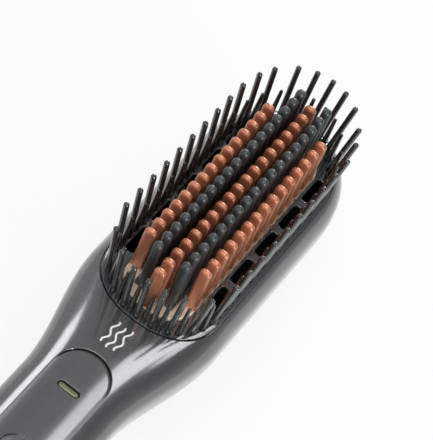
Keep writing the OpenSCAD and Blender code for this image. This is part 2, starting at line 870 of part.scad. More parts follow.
module copper_comb_right() {
    copper_comb(-2 * row_gap, outer_teeth);
}

module cool_comb(y) {
    color([0.17, 0.19, 0.2]) {
        first = 1 - cool_teeth / 2;
        comb_bar(y, first, first + cool_teeth - 1, tooth_w);
        for (i = [first:first + cool_teeth - 1])
            translate([teeth_x + i * tooth_pitch, y, hot_z]) {
                cylinder(h = tooth_h + cool_rise - cool_d / 2, d = cool_d);
                translate([0, 0, tooth_h + cool_rise - cool_d / 2])
                    sphere(d = cool_d);
            }
    }
}

module cool_comb_left() {
    cool_comb(row_gap);
}

module cool_comb_right() {
    cool_comb(-row_gap);
}

// Plate heater under the heating plate

module ptc_heater() {
    color("gainsboro")
    box([teeth_x - ptc_l / 2, -ptc_w / 2, ptc_z], [teeth_x + ptc_l / 2, ptc_w / 2, hot_under_z]);
}

module heater_insulator() {
    color("orange")
    box([teeth_x - ptc_l / 2 - 1, -ptc_w / 2 - 1, ptc_z - sheet_t],
        [teeth_x + ptc_l / 2 + 1, ptc_w / 2 + 1, ptc_z]);
}

module heater_frame() {
    color([0.85, 0.84, 0.8])
    difference() {
        union() {
            box([teeth_x - frame_l / 2, -frame_w / 2, frame_z],
                [teeth_x + frame_l / 2, frame_w / 2, frame_z + frame_t]);
            for (y = [-1, 1])
                box([teeth_x - frame_l / 2, y * (frame_w / 2 - frame_t / 2) - frame_t / 2, frame_z],
                    [teeth_x + frame_l / 2, y * (frame_w / 2 - frame_t / 2) + frame_t / 2,
                        hot_under_z]);
            for (x = web_x)
                box([x - arm_w / 2, -arm_reach, arm_z - arm_t], [x + arm_w / 2, arm_reach, arm_z]);
        }
        box([teeth_x - frame_l / 2 - eps, -frame_w / 2 + frame_t, frame_z + frame_t],
            [teeth_x + frame_l / 2 + eps, frame_w / 2 - frame_t, top_z]);
        for (x = web_x, y = [-slot_y, slot_y])
            translate([x, y, frame_z])
                cylinder(h = crown_h, d = small_screw_d + 0.2);
    }
}

module heater_screws() {
    color("silver")
    for (x = web_x, y = [-slot_y, slot_y])
        translate([x, y, arm_z - arm_t - small_head_t]) {
            cylinder(h = small_head_t, d = small_head_d);
            cylinder(h = small_head_t + heater_screw_l, d = small_screw_d);
        }
}

module temperature_sensor() {
    color("goldenrod")
    bar_x(teeth_x + ptc_l / 2 + 0.3 + 1, teeth_x + frame_l / 2, 0, hot_under_z - sensor_d / 2,
        sensor_d);
}

// Control panel and buttons

module control_panel() {
    color([0.38, 0.39, 0.395])
    difference() {
        intersection() {
            body_half(true, 0);
            slab(panel_z, panel_t + eps)
                stadium(panel_x0, panel_x1, panel_w);
        }
        slab(panel_z - eps, panel_t + 2 * eps)
            translate([lens_x, 0])
                rounded(lens_w + 2 * fit, lens_l + 2 * fit, lens_w / 2);
        for (x = button_x) {
            translate([x, 0, panel_z - eps])
                cylinder(h = panel_t + 2 * eps, d = button_d + 2 * button_gap);
            translate([x, 0, panel_z - eps])
                cylinder(h = panel_t - button_cover + eps,
                    d = button_d + 2 * flange_w + 2 * button_gap);
        }
    }
}

module indicator_lens() {
    color([0.78, 0.8, 0.55, 0.7])
    slab(board_top + led_h + 0.3, top_z - 0.3 - board_top - led_h - 0.3)
        translate([lens_x, 0])
            rounded(lens_w, lens_l, lens_w / 2 - 0.01);
}

module button(x) {
    translate([x, 0, 0]) {
        translate([0, 0, flange_z])
            cylinder(h = top_z + button_proud - flange_z, d = button_d);
        translate([0, 0, flange_z])
            cylinder(h = flange_t, d = button_d + 2 * flange_w);
        translate([0, 0, stem_z])
            cylinder(h = flange_z - stem_z + flange_t, d = stem_d);
    }
}

module power_button() {
    color([0.2, 0.2, 0.21])
    button(button_x[0]);
}

module heat_button() {
    color([0.2, 0.2, 0.21])
    button(button_x[1]);
}

module cool_button() {
    color([0.2, 0.2, 0.21])
    button(button_x[2]);
}

// Electronics

module control_pcb() {
    color("darkgreen")
    difference() {
        box([board_x0, -board_w / 2, board_z], [board_x1, board_w / 2, board_top]);
        for (p = post_xy)
            translate([p[0], p[1], board_z - eps])
                cylinder(h = board_t + 2 * eps, d = small_screw_d + 0.2);
    }
}

module tact_switches() {
    color("dimgray")
    for (x = button_x)
        translate([x, 0, board_top]) {
            box([-3.1, -3.1, 0], [3.1, 3.1, switch_h]);
            cylinder(h = switch_h + plunger_h, d = 3.4);
        }
}

module indicator_led() {
    color("white")
    translate([lens_x, 0, board_top])
        for (y = [-2.4, 0, 2.4])
            box([-0.8, y - 0.8, 0], [0.8, y + 0.8, led_h]);
}

module pcb_parts() {
    color("black")
    translate([0, 0, board_top]) {
        box([lens_x - 14, -4, 0], [lens_x - 7, 3, 1.2]);
        box([button_x[0] - 13, -6, 0], [button_x[0] - 7, -1, 1.6]);
        box([button_x[0] - 12.5, 1, 0], [button_x[0] - 7.5, 7, 1.6]);
        box([button_x[1] - 13, -7, 0], [button_x[1] - 7, 0, 1.9]);
        box([button_x[1] - 12, 2, 0], [button_x[1] - 8, 6, 1.9]);
        for (y = [-2.6, 0, 2.6])
            box([lens_x + 3.4, y - 0.8, 0], [lens_x + 4.6, y + 0.8, 0.6]);
    }
}

module pcb_screws() {
    color("silver")
    for (p = post_xy)
        translate([p[0], p[1], board_z - 1]) {
            cylinder(h = 1, d = small_head_d);
            cylinder(h = 1 + board_t + 2, d = small_screw_d);
        }
}

module ion_module() {
    color([0.15, 0.16, 0.3])
    box([ion_x0, -ion_w / 2, ion_z], [ion_x1, ion_w / 2, ion_z + ion_h]);
}

module ion_needles() {
    color("gold")
    for (x = [ion_x0 + 5, ion_x1 - 5])
        translate([x, 0, ion_z + ion_h]) {
            cylinder(h = 2, d = 2.4);
            cylinder(h = needle_l - 2, d = 1);
            translate([0, 0, needle_l - 2])
                cylinder(h = 2, d1 = 1, d2 = 0.2);
        }
}

// Blower

module blower_shroud() {
    color([0.25, 0.25, 0.26]) {
        tube_x(shroud_x, shroud_x1, air_z, shroud_d, shroud_d - 2 * shroud_t);
        difference() {
            union() {
                bar_x(hub_x, motor_x + motor_l, 0, air_z, motor_d + 2 * hub_t + 0.1);
                for (i = [0:vane_n - 1])
                    translate([0, 0, air_z])
                        rotate([i * 360 / vane_n, 0, 0])
                            box([hub_x + 1, -0.4, motor_d / 2],
                                [hub_x + 15, 0.4, shroud_d / 2 - shroud_t / 2]);
            }
            bar_x(motor_x, motor_x + motor_l + eps, 0, air_z, motor_d + 0.1);
            bar_x(hub_x - eps, motor_x + eps, 0, air_z, shaft_d + 3);
        }
    }
}

module blower_rings() {
    color([0.1, 0.1, 0.1])
    for (s = [saddles[0], saddles[1]])
        tube_x(s[0] - 1.6, s[0] + 1.6, air_z, shroud_d + 2 * ring_t, shroud_d + 0.02);
}

module impeller() {
    color([0.75, 0.76, 0.78])
    difference() {
        union() {
            bar_x(impeller_x, impeller_x + impeller_l, 0, air_z, 10);
            intersection() {
                tube_x(impeller_x, impeller_x + impeller_l, air_z, impeller_d, 8);
                translate([impeller_x + impeller_l / 2, 0, air_z])
                    for (i = [0:blade_n - 1])
                        rotate([i * 360 / blade_n, 0, 0])
                            translate([0, 0, 4])
                                rotate([0, 0, 38])
                                    translate([-6, -0.35, 0])
                                        cube([12, 0.7, impeller_d]);
            }
        }
        bar_x(impeller_x - eps, impeller_x + impeller_l + eps, 0, air_z, shaft_d + 0.02);
    }
}

module motor_can() {
    color("silver")
    difference() {
        bar_x(motor_x, motor_x + motor_l, 0, air_z, motor_d);
        bar_x(motor_x + 1.2, motor_x + motor_l + eps, 0, air_z, motor_d - 2 * can_t);
        bar_x(motor_x - eps, motor_x + 1.2 + eps, 0, air_z, bearing_d + 0.04);
    }
}

module motor_cap() {
    color([0.2, 0.2, 0.2])
    tube_x(motor_x + motor_l - 1.6, motor_x + motor_l, air_z, motor_d - 2 * can_t - 0.04,
        bearing_d + 0.04);
}

module motor_bearings() {
    color("goldenrod")
    for (x = [motor_x - 0.1, motor_x + motor_l - bearing_l])
        tube_x(x, x + bearing_l, air_z, bearing_d, shaft_d + 2 * shaft_gap);
}

module motor_stator() {
    color([0.7, 0.45, 0.25])
    tube_x(motor_x + 4, motor_x + motor_l - 4, air_z, motor_d - 2 * can_t - 0.04, 8.2);
}

module motor_rotor() {
    color([0.3, 0.3, 0.33])
    tube_x(motor_x + 4, motor_x + motor_l - 4, air_z, 7.4, shaft_d + 0.02);
}

module motor_shaft() {
    color("silver")
    bar_x(impeller_x - 0.5, motor_x + motor_l - 0.2, 0, air_z, shaft_d);
}

// Duct and air heater

module air_duct() {
    color([0.3, 0.3, 0.31])
    difference() {
        union() {
            bar_x(duct_x0, duct_x0 + sleeve_l, 0, air_z, shroud_d + 2 * sleeve_t);
            bar_x(duct_x0 + sleeve_l - 1, tube_x0, 0, air_z, tube_d);
            bar_x(tube_x0 - 1, tube_x0 + spigot_l, 0, air_z, tube_d - 2 * tube_t - 0.1);
        }
        bar_x(duct_x0 - eps, shroud_x1, 0, air_z, shroud_d + 0.04);
        bar_x(duct_x0, tube_x0 + spigot_l + eps, 0, air_z, tube_d - 2 * tube_t - 2 * duct_t);
    }
}

module heater_tube() {
    color([0.8, 0.78, 0.72])
    tube_x(tube_x0, tube_x1, air_z, tube_d, tube_d - 2 * tube_t);
}

module mica_cross() {
    color([0.85, 0.8, 0.65])
    translate([0, 0, air_z])
        for (a = [0, 90])
            rotate([a, 0, 0]) {
                box([mica_x0, -mica_hw, -mica_t / 2], [mica_x1, mica_hw, mica_t / 2]);
                for (x = [mica_x0, mica_x1 - mica_tab_l])
                    box([x, -mica_tab_hw, -mica_t / 2], [x + mica_tab_l, mica_tab_hw, mica_t / 2]);
            }
}

// Wire wound round the mica cross: rings of six points carried along a helix.
module heater_coil() {
    turn_steps = 18;
    sides = 6;
    last = coil_turns * turn_steps;
    x0 = mica_x0 + mica_tab_l + 2;
    pitch = coil_l / coil_turns;
    points = [for (i = [0:last], k = [0:sides - 1])
        let (a = 360 * i / turn_steps, b = 360 * k / sides)
        let (r = coil_r + wire_d / 2 * cos(b))
        [x0 + pitch * i / turn_steps + wire_d / 2 * sin(b), r * cos(a), air_z + r * sin(a)]];
    walls = [for (i = [0:last - 1], k = [0:sides - 1])
        let (m = (k + 1) % sides)
        each [[i * sides + k, i * sides + m, (i + 1) * sides + m],
            [i * sides + k, (i + 1) * sides + m, (i + 1) * sides + k]]];
    color("silver")
    polyhedron(points, concat(
        [[for (k = [sides - 1:-1:0]) k]],
        walls,
        [[for (k = [0:sides - 1]) last * sides + k]]));
}

module thermal_cutout() {
    color("white")
    box([mica_x0 + 8, mica_t / 2, air_z + mica_t / 2],
        [mica_x0 + 18, mica_t / 2 + 3, air_z + mica_t / 2 + 5]);
}

module thermal_fuse() {
    color("tan")
    bar_x(mica_x0 + 24, mica_x0 + 34, -mica_t / 2 - 1.3, air_z - mica_t / 2 - 1.3, 2.4);
}

// Tail

module intake_grille() {
    dome_steps = 8;
    r1 = grille_d / 2;
    r0 = 9;
    hub_r = 7.2;
    lip_r = spigot_d / 2 - 2.2;
    rear = grille_x + 2.2;
    flange_l = 3;
    color([0.2, 0.2, 0.21])
    difference() {
        turned(tail_z, concat(
            [[spigot_d / 2 - 1.2, shell_x + spigot_in], [spigot_d / 2, shell_x + spigot_in],
                [spigot_d / 2, shell_x], [r1, shell_x]],
            [for (i = [0:dome_steps])
                let (a = 90 * i / dome_steps)
                [r0 + (r1 - r0) * cos(a), shell_x - flange_l - (grille_l - flange_l) * sin(a)]],
            [[journal_d / 2 + journal_gap, grille_x],
                [journal_d / 2 + journal_gap, grille_x + hub_l],
                [hub_r, grille_x + hub_l]],
            [for (i = [dome_steps:-1:0])
                let (a = 90 * i / dome_steps)
                [hub_r + (lip_r - hub_r) * cos(a),
                    shell_x - flange_l - (shell_x - flange_l - rear) * sin(a)]],
            [[lip_r, filter_x], [spigot_d / 2 - 1.2, filter_x]]));
        for (i = [0:grille_slots - 1])
            translate([0, 0, tail_z])
                rotate([(i + 0.5) * 360 / grille_slots, 0, 0])
                    box([grille_x + 4, -grille_slot_w / 2, hub_r + 0.8],
                        [shell_x - 4.4, grille_slot_w / 2, r1 + eps]);
    }
}

module dust_filter() {
    r = spigot_d / 2 - 1.25;
    color([0.5, 0.5, 0.52])
    translate([filter_x, 0, tail_z])
        rotate([0, 90, 0])
            difference() {
                cylinder(h = 0.8, r = r);
                translate([0, 0, -eps])
                    cylinder(h = 3, d = filter_bore_d);
                for (ring = [2:3], i = [0:6 * ring - 1])
                    rotate([0, 0, i * 60 / ring])
                        translate([ring * 3.1, 0, -eps])
                            cylinder(h = 3, d = 2.2, $fn = 16);
            }
}

module cord_swivel() {
    groove_r = journal_d / 2 - 0.7;
    collar_x1 = grille_x - collar_gap;
    clip_x = grille_x + hub_l + 0.2;
    color([0.1, 0.1, 0.105]) {
        turned(tail_z, [
            [cord_bore_d / 2, tail_x], [4.6, tail_x], [5.2, tail_x + 0.8],
            [5.2, collar_x1 - collar_l], [collar_r, collar_x1 - collar_l],
            [collar_r, collar_x1], [journal_d / 2, collar_x1],
            [journal_d / 2, clip_x], [groove_r, clip_x], [groove_r, clip_x + clip_t + 0.1],
            [journal_d / 2, clip_x + clip_t + 0.1], [journal_d / 2, clip_x + clip_t + 1.1],
            [cord_bore_d / 2, clip_x + clip_t + 1.1]]);
        for (s = [-1, 1])
            translate([loop_x, s * (collar_r - 0.9), tail_z])
                rotate([-90 * s, 0, 0])
                    cylinder(h = loop_y + loop_eye_w / 2 - collar_r + 1.1, d = trunnion_d);
    }
}

module swivel_clip() {
    clip_x = grille_x + hub_l + 0.25;
    color("silver")
    difference() {
        tube_x(clip_x, clip_x + clip_t, tail_z, 12.8, journal_d - 1.3);
        box([clip_x - eps, -2, tail_z], [clip_x + clip_t + eps, 2, tail_z + 10]);
    }
}

module hanging_loop() {
    color([0.1, 0.1, 0.105])
    difference() {
        union() {
            for (s = [-1, 1]) {
                translate([loop_x, s * loop_y, tail_z])
                    rotate([90, 0, 0])
                        cylinder(h = loop_eye_w, d = loop_eye_d, center = true);
                translate([loop_x, s * loop_y, tail_z - loop_leg])
                    cylinder(h = loop_leg - trunnion_d / 2 - 0.2, d = loop_rod_d);
            }
            translate([loop_x, 0, tail_z - loop_leg])
                rotate([-90, 0, 90])
                    rotate_extrude(angle = 180)
                        translate([loop_y, 0])
                            circle(d = loop_rod_d);
        }
        translate([loop_x, 0, tail_z])
            rotate([90, 0, 0])
                cylinder(h = 2 * loop_y + 2 * loop_eye_w, d = trunnion_d + 2 * trunnion_gap,
                    center = true);
    }
}

upper_housing();
lower_housing();
brush_plate();
pin_frame();
heating_plate();
copper_comb_middle();
copper_comb_left();
copper_comb_right();
cool_comb_left();
cool_comb_right();
control_panel();
indicator_lens();
power_button();
heat_button();
cool_button();
intake_grille();
dust_filter();
cord_swivel();
swivel_clip();
hanging_loop();
blower_shroud();
blower_rings();
impeller();
motor_can();
motor_cap();
motor_stator();
motor_rotor();
motor_shaft();
motor_bearings();
air_duct();
heater_tube();
mica_cross();
heater_coil();
thermal_cutout();
thermal_fuse();
ptc_heater();
heater_insulator();
heater_frame();
temperature_sensor();
control_pcb();
tact_switches();
indicator_led();
pcb_parts();
ion_module();
ion_needles();
housing_screws();
heater_screws();
pcb_screws();
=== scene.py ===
"""Looks of the hot air styler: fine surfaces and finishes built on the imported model.

Lengths are in millimetres until a mesh is finished, and in metres in the scene.
+X runs to the tip of the head and +Z is the way the teeth point.
"""

from __future__ import annotations

import json
import logging
from dataclasses import dataclass, field
from enum import Enum
from typing import Any, Callable, Sequence

import bpy
import numpy as np
from mathutils import Matrix, Vector

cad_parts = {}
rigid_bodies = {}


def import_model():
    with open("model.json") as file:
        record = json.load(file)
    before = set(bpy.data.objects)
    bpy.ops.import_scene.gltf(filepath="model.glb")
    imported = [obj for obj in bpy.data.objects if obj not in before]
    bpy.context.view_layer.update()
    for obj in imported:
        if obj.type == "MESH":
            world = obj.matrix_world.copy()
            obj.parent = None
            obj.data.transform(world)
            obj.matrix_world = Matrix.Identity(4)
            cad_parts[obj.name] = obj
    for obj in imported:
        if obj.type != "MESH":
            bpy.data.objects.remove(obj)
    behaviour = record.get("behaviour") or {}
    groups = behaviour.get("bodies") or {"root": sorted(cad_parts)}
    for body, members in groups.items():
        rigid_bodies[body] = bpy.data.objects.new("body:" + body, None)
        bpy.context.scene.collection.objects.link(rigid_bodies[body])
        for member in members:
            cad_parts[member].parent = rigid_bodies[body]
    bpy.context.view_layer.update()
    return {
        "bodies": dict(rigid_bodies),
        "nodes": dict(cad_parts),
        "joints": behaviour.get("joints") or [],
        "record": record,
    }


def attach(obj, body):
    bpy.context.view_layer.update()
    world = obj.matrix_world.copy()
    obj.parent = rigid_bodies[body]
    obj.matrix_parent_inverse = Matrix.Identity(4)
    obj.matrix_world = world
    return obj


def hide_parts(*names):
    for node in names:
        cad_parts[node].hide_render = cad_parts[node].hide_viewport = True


LOG = logging.getLogger("styler")
MM = 0.001
ABOVE_ALL = 45.0  # height that no piece of the body reaches
LEAST_COSINE = 0.1  # between a corner's normal and its face's own
MIDDLE = (0.3, 0.7)  # where most of a noise's values lie
ROUGHNESS_SHARE = 0.15
BUMP_DEPTH = 0.3  # as a share of the grain's size
RUN_OUT = 0.22  # how far a cutter runs on along an edge's last slope
OVER = 0.05  # how far above the surface that slope ends
TINY = 0.004  # what the last ring of a round cap lies below its top
ALONG, _, UP = np.eye(3)
QUARTER = np.linspace(0, np.pi / 2, 6)
SLOPE = np.radians([0, 15, 30, 45, 60, 75])
Array = np.ndarray
Pair = tuple[float, float]
Triple = tuple[float, float, float]
Color = tuple[float, float, float, float]


class Kind(Enum):
    """How a face gets its shading normals."""

    FLAT = 0
    CROWN = 1
    BACK = 2
    ROUND = 3


class Join(Enum):
    """What a cutter does to a solid."""

    CUT = "DIFFERENCE"
    KEEP = "INTERSECT"


def ease(t: Array) -> Array:
    """Returns three t squared less two t cubed, with t held between 0 and 1."""
    u = np.clip(t, 0.0, 1.0)
    return u * u * (3.0 - 2.0 * u)


def mix(a: Array, b: Array, t: Array) -> Array:
    """Returns the value that lies at share t of the way from a to b."""
    return a + (b - a) * t


def signed_power(value: Array, power: float) -> Array:
    """Returns the size of the value raised to a power, with the value's sign."""
    return np.sign(value) * np.abs(value) ** power


def unit(rows: Array) -> Array:
    """Returns each row divided by its length."""
    return rows / np.maximum(np.linalg.norm(rows, axis=1, keepdims=True), 1e-12)


def rounded(size: float, top: Array, width: float, drop: float,
            turn: Array = QUARTER) -> list[tuple[float, Array]]:
    """Returns sizes and heights of a rounded top edge: size - w(1 - cos a), top - d(1 - sin a)."""
    return [(size - width * (1 - np.cos(a)), top - drop * (1 - np.sin(a))) for a in turn]


def read(data: Any, name: str, kind: Any = np.int32, width: int = 1) -> Array:
    """Reads one property of all points, corners or faces, in rows if it has several numbers.

    Args:
        data: The points, corners or faces.
        name: The property's name.
        kind: The type of its numbers.
        width: How many numbers each of them has.

    Returns:
        The numbers, one row for each if there are several.
    """
    values = np.empty(len(data) * width, kind)
    data.foreach_get(name, values)
    return values.reshape(-1, width) if width > 1 else values


def put(name: str, data: Any) -> bpy.types.Object:
    """Puts a new object with this data into the scene.

    Args:
        name: The object's name.
        data: Its mesh, lamp or camera.

    Returns:
        The object.
    """
    thing = bpy.data.objects.new(name, data)
    bpy.context.scene.collection.objects.link(thing)
    return thing


@dataclass
class Shape:
    """Points in millimetres, and faces in groups of one kind and one number of corners."""

    points: Array
    groups: list[tuple[Array, Kind]]

    @staticmethod
    def joined(shapes: Sequence["Shape"]) -> "Shape":
        """Puts several shapes into one.

        Args:
            shapes: The shapes, which stay apart from each other.

        Returns:
            One shape with all their points and faces.
        """
        groups = []
        start = 0
        for shape in shapes:
            groups += [(faces + start, kind) for faces, kind in shape.groups]
            start += len(shape.points)
        return Shape(np.concatenate([s.points for s in shapes]), groups)

    def mesh(self, name: str) -> bpy.types.Mesh:
        """Makes a mesh of the shape, still in millimetres, with kinds as material numbers.

        Args:
            name: The mesh's name.

        Returns:
            The mesh.
        """
        mesh = bpy.data.meshes.new(name)
        faces = [f for group, _ in self.groups for f in group.tolist()]
        mesh.from_pydata(self.points.tolist(), [], faces)
        for _ in Kind:
            mesh.materials.append(None)
        kinds = np.concatenate([np.full(len(g), kind.value) for g, kind in self.groups])
        mesh.polygons.foreach_set("material_index", kinds.astype(np.int32))
        return mesh


def ring_stack(rings: Array, wall: Kind, low: Kind = Kind.FLAT, high: Kind = Kind.FLAT,
               strips: bool = False) -> Shape:
    """Closes a stack of rings into a solid.

    Point i of ring j is joined to point i + 1 and to the same points of ring j + 1.

    Args:
        rings: Rings from low to high, each counter-clockwise from above; (levels, points, 3).
        wall: Kind of the faces between the rings.
        low: Kind of the lowest cap.
        high: Kind of the highest cap.
        strips: Whether the caps are strips across the axis, for a ring that isn't convex.

    Returns:
        The closed shape.
    """
    levels, n = rings.shape[:2]
    j, i = np.meshgrid(np.arange(levels - 1), np.arange(n), indexing="ij")
    k = (i + 1) % n
    walls = np.stack([j * n + i, j * n + k, (j + 1) * n + k, (j + 1) * n + i], -1).reshape(-1, 4)
    lids = [np.arange(n)[None]]
    if strips:
        tip = (n - 1) // 2
        s = np.arange(tip - 1)
        lids = [np.stack([s, s + 1, n - 2 - s, n - 1 - s], -1), np.array([[tip - 1, tip, tip + 1]])]
    caps = [(lid[:, ::-1], low) for lid in lids] + [(lid + (levels - 1) * n, high) for lid in lids]
    return Shape(rings.reshape(-1, 3), [(walls, wall)] + caps)


def many_stacks(points: Array) -> Shape:
    """Closes many stacks of rings of one size.

    Args:
        points: The rings of each; (solids, levels, sides, 3).

    Returns:
        The closed solids, as one shape.
    """
    one = ring_stack(points[0], Kind.ROUND, high=Kind.ROUND)
    start = np.arange(len(points))[:, None, None] * points.shape[1] * points.shape[2]
    groups = [((faces[None] + start).reshape(-1, faces.shape[1]), kind)
              for faces, kind in one.groups]
    return Shape(points.reshape(-1, 3), groups)


def lathe(profile: Array, base: Array, across: Array, upright: Array, sides: int = 24) -> Shape:
    """Turns one profile about many axes.

    A point is base + s * axis + r (cos a * u + sin a * v), with u and v square to the axis.

    Args:
        profile: Pairs of radius and length along the axis, from the foot up; (m, 2).
        base: Where each axis starts; (n, 3).
        across: Unit vector u of each; (n, 3).
        upright: Unit vector of each axis; (n, 3).
        sides: Faces round each.

    Returns:
        The closed solids, as one shape.
    """
    a = np.linspace(0, 2 * np.pi, sides, endpoint=False)
    third = np.cross(upright, across)
    spoke = np.cos(a)[None, :, None] * across[:, None] + np.sin(a)[None, :, None] * third[:, None]
    radius, along = np.asarray(profile).T[:, None, :, None, None]
    spokes = radius * spoke[:, None]
    return many_stacks(base[:, None, None] + along * upright[:, None, None] + spokes)


def turned(profile: Sequence[Any], base: Triple, sides: int,
           axis: Array = UP) -> Shape:
    """Returns the solid of one profile turned about one axis, which is X or Z."""
    return lathe(np.array(profile), np.array([base]), np.roll(axis, 1)[None], axis[None], sides)


def ribbon(line: Array, width: float, height: Callable[[Array, Array], Array],
           rise: float = 0.03) -> Shape:
    """Carries a flat strip along a line, with its sides sunk into what it lies on.

    At each point the strip's two edges lie half the width to the left and right of the line.

    Args:
        line: Points of the line from above; (n, 2).
        width: Width of the strip.
        height: Function from x and y to the height of what it lies on.
        rise: How far the strip stands above it.

    Returns:
        The closed strip.
    """
    way = unit(np.gradient(line, axis=0))
    side = np.stack([-way[:, 1], way[:, 0]], -1) * width / 2
    left, right, sunk = line + side, line - side, -0.06
    lifts = [(left, rise), (left, sunk), (right, sunk), (right, rise)]
    rings = np.stack([np.column_stack([p, height(*p.T) + lift]) for p, lift in lifts], 1)
    return ring_stack(rings[:, ::-1], Kind.FLAT)


@dataclass(frozen=True)
class BodyForm:
    """Outer surface of the body: a handle that widens through a neck into the head."""

    tail_x: float = -128.0
    tip_x: float = 155.0
    tip_length: float = 31.0
    neck_x: float = 20.0
    neck_length: float = 46.0
    deck_x: float = 35.0
    deck_length: float = 33.0
    head_width: float = 50.0
    handle_width: float = 34.0
    tail_width: float = 33.0
    height: float = 34.0
    crown_height: float = 9.7
    crown_flat: float = 0.13
    deck_flat: float = 0.75
    back_flat: float = 0.32
    crown_powers: Pair = (2.3, 2.0)
    back_powers: Pair = (2.2, 2.7)
    tip_power: float = 2.12
    tail_round: float = 0.8
    groove: float = 0.16

    @property
    def part_z(self) -> float:
        """Height of the parting line."""
        return self.height - self.crown_height

    @property
    def curve_x(self) -> float:
        """Where the tip's curve begins."""
        return self.tip_x - self.tip_length

    def neck(self, x: Array) -> Array:
        """Share of the way from the handle to the head."""
        return ease((x - self.neck_x) / self.neck_length)

    def half_width(self, x: Array) -> Array:
        """Half width at the widest line, without the taper."""
        return mix(self.handle_width, self.head_width, self.neck(x)) / 2

    def taper(self, x: Array) -> Array:
        """What the taper adds to the half width, negative towards the tail."""
        share = np.clip((self.neck_x - x) / (self.neck_x - self.tail_x), 0.0, None)
        return (self.tail_width - self.handle_width) / 2 * share

    def crown_curve(self, x: Array) -> tuple[Array, Array]:
        """Flat share and power of the crown's section at x, from the handle's to the deck's."""
        s = ease((x - self.deck_x) / self.deck_length)
        return mix(self.crown_flat, self.deck_flat, s), mix(*self.crown_powers, s)

    def crown_share(self, x: Array, h: Array) -> Array:
        """Share of the half width at height h of the crown: flat + (1 - flat)(1 - h^n)^(1/n)."""
        flat, n = self.crown_curve(x)
        return flat + (1 - flat) * np.clip(1 - h ** n, 0, None) ** (1 / n)

    def back_share(self, x: Array, g: Array) -> Array:
        """Share of the half width at depth g of the back: (1 - (1 - flat^n) g^n)^(1/n)."""
        n = mix(*self.back_powers, self.neck(x))
        return (1 - (1 - self.back_flat ** n) * g ** n) ** (1 / n)

    def stations(self) -> Array:
        """Lists places from the tail to the tip's curve, closest where the outline bends."""
        marks = (self.tail_x + self.tail_round, self.neck_x, self.neck_x + self.neck_length,
                 self.curve_x)
        return np.concatenate([self.tail_x + self.tail_round * (1 - np.cos(QUARTER))] + [
            np.linspace(a, b, n)[1:] for a, b, n in zip(marks, marks[1:], (40, 70, 24))])

    def tail_turn(self, x: Array) -> Array:
        """Cosine c of the tail's rounded edge, whose x is r(1 - c) from the tail."""
        return np.clip(1 - (x - self.tail_x) / self.tail_round, 0, 1)

    def half(self, crown: bool, inset: float = 0.0, levels: int = 44) -> Shape:
        """Builds the solid above or below the parting line.

        Each ring is the outline at one level: half width times the level's share on the straight
        part, and x = curve + length cos^(2/p) a, y = width sin^(2/p) a round the tip. The tail's
        edge is drawn in by r(1 - sin a), and the parting line by the groove. The levels crowd
        towards the top by a power, and an inset lowers the top by its share called sink.

        Args:
            crown: Whether this is the half above the parting line.
            inset: How far the surface lies inside the body's.
            levels: How many levels the surface has.

        Returns:
            The closed half.
        """
        share = self.crown_share if crown else self.back_share
        full, way = (self.crown_height, 1) if crown else (self.part_z, -1)
        crowding, sink = (0.93, 0.86) if crown else (0.85, 1.0)
        height = np.sin(np.linspace(0, np.pi / 2, levels)) ** crowding
        x, edge = self.stations(), 0.0
        if inset:
            x = np.maximum(x, self.tail_x + inset)
        else:
            low = self.groove / full
            height = np.concatenate([[0.0, low], height[height > 2.5 * low]])
            edge = self.tail_round * (1 - np.sqrt(1 - self.tail_turn(x) ** 2))
        height = height[:, None]
        extra = np.full_like(height, inset)
        extra[0] += 0.0 if inset else self.groove
        y = (self.half_width(x) - extra - edge) * share(x, height) + self.taper(x)
        z = (full - sink * (inset + edge)) * height
        a = np.linspace(np.pi / 2, 0, 64)[1:]
        w = (self.head_width / 2 - extra) * share(np.array(self.curve_x), height)
        long = self.tip_length - self.head_width / 2 + w
        tip_x = self.curve_x + long * np.cos(a) ** (2 / self.tip_power)
        tip_y = w * np.sin(a) ** (2 / self.tip_power)
        tip_x[:, -1:], tip_y[:, -1] = self.curve_x + long, 0
        tip_z = (full - sink * inset) * height
        side = np.concatenate([np.stack(np.broadcast_arrays(*parts), -1)
                               for parts in ((x, y, z), (tip_x, tip_y, tip_z))], 1)
        side[..., 2] = self.part_z + way * side[..., 2]
        if inset:
            side = np.concatenate([side[:1] - way * UP, side])
        rings = np.concatenate([side * [1, -1, 1], side[:, -2::-1]], 1)[::way]
        if inset:
            return ring_stack(rings, Kind.ROUND, strips=True)
        return ring_stack(rings, Kind.CROWN if crown else Kind.BACK,
                          high=Kind.CROWN if crown else Kind.FLAT, strips=True)

    def share_at(self, x: Array, y: Array) -> Array:
        """Finds the share of the half width whose outline goes through a point.

        Args:
            x: Places along the body.
            y: Places across it.

        Returns:
            (|y| - taper) / half width on the straight part; round the tip, the share whose
            outline (x / length)^p + (y / width)^p = 1 holds, found by halving.
        """
        straight = (np.abs(y) - self.taper(x)) / self.half_width(x)
        low, high = np.zeros_like(straight), np.full_like(straight, 1.2)
        half = self.head_width / 2
        run = np.clip(x - self.curve_x, 0, None)
        for _ in range(34):
            middle = (low + high) / 2
            w = np.maximum(half * middle, 1e-9)
            out = (run / (self.tip_length - half + w)) ** self.tip_power + \
                (np.abs(y) / w) ** self.tip_power > 1
            low, high = np.where(out, middle, low), np.where(out, high, middle)
        return np.where(x > self.curve_x, (low + high) / 2, straight)

    def crown_z(self, x: Array, y: Array) -> Array:
        """Height of the crown over a point: part line plus crown height times (1 - u^n)^(1/n).

        Args:
            x: Places along the body.
            y: Places across it.

        Returns:
            The heights.
        """
        flat, n = self.crown_curve(x)
        u = np.clip((self.share_at(x, y) - flat) / (1 - flat), 0, 1)
        return self.part_z + self.crown_height * (1 - u ** n) ** (1 / n)

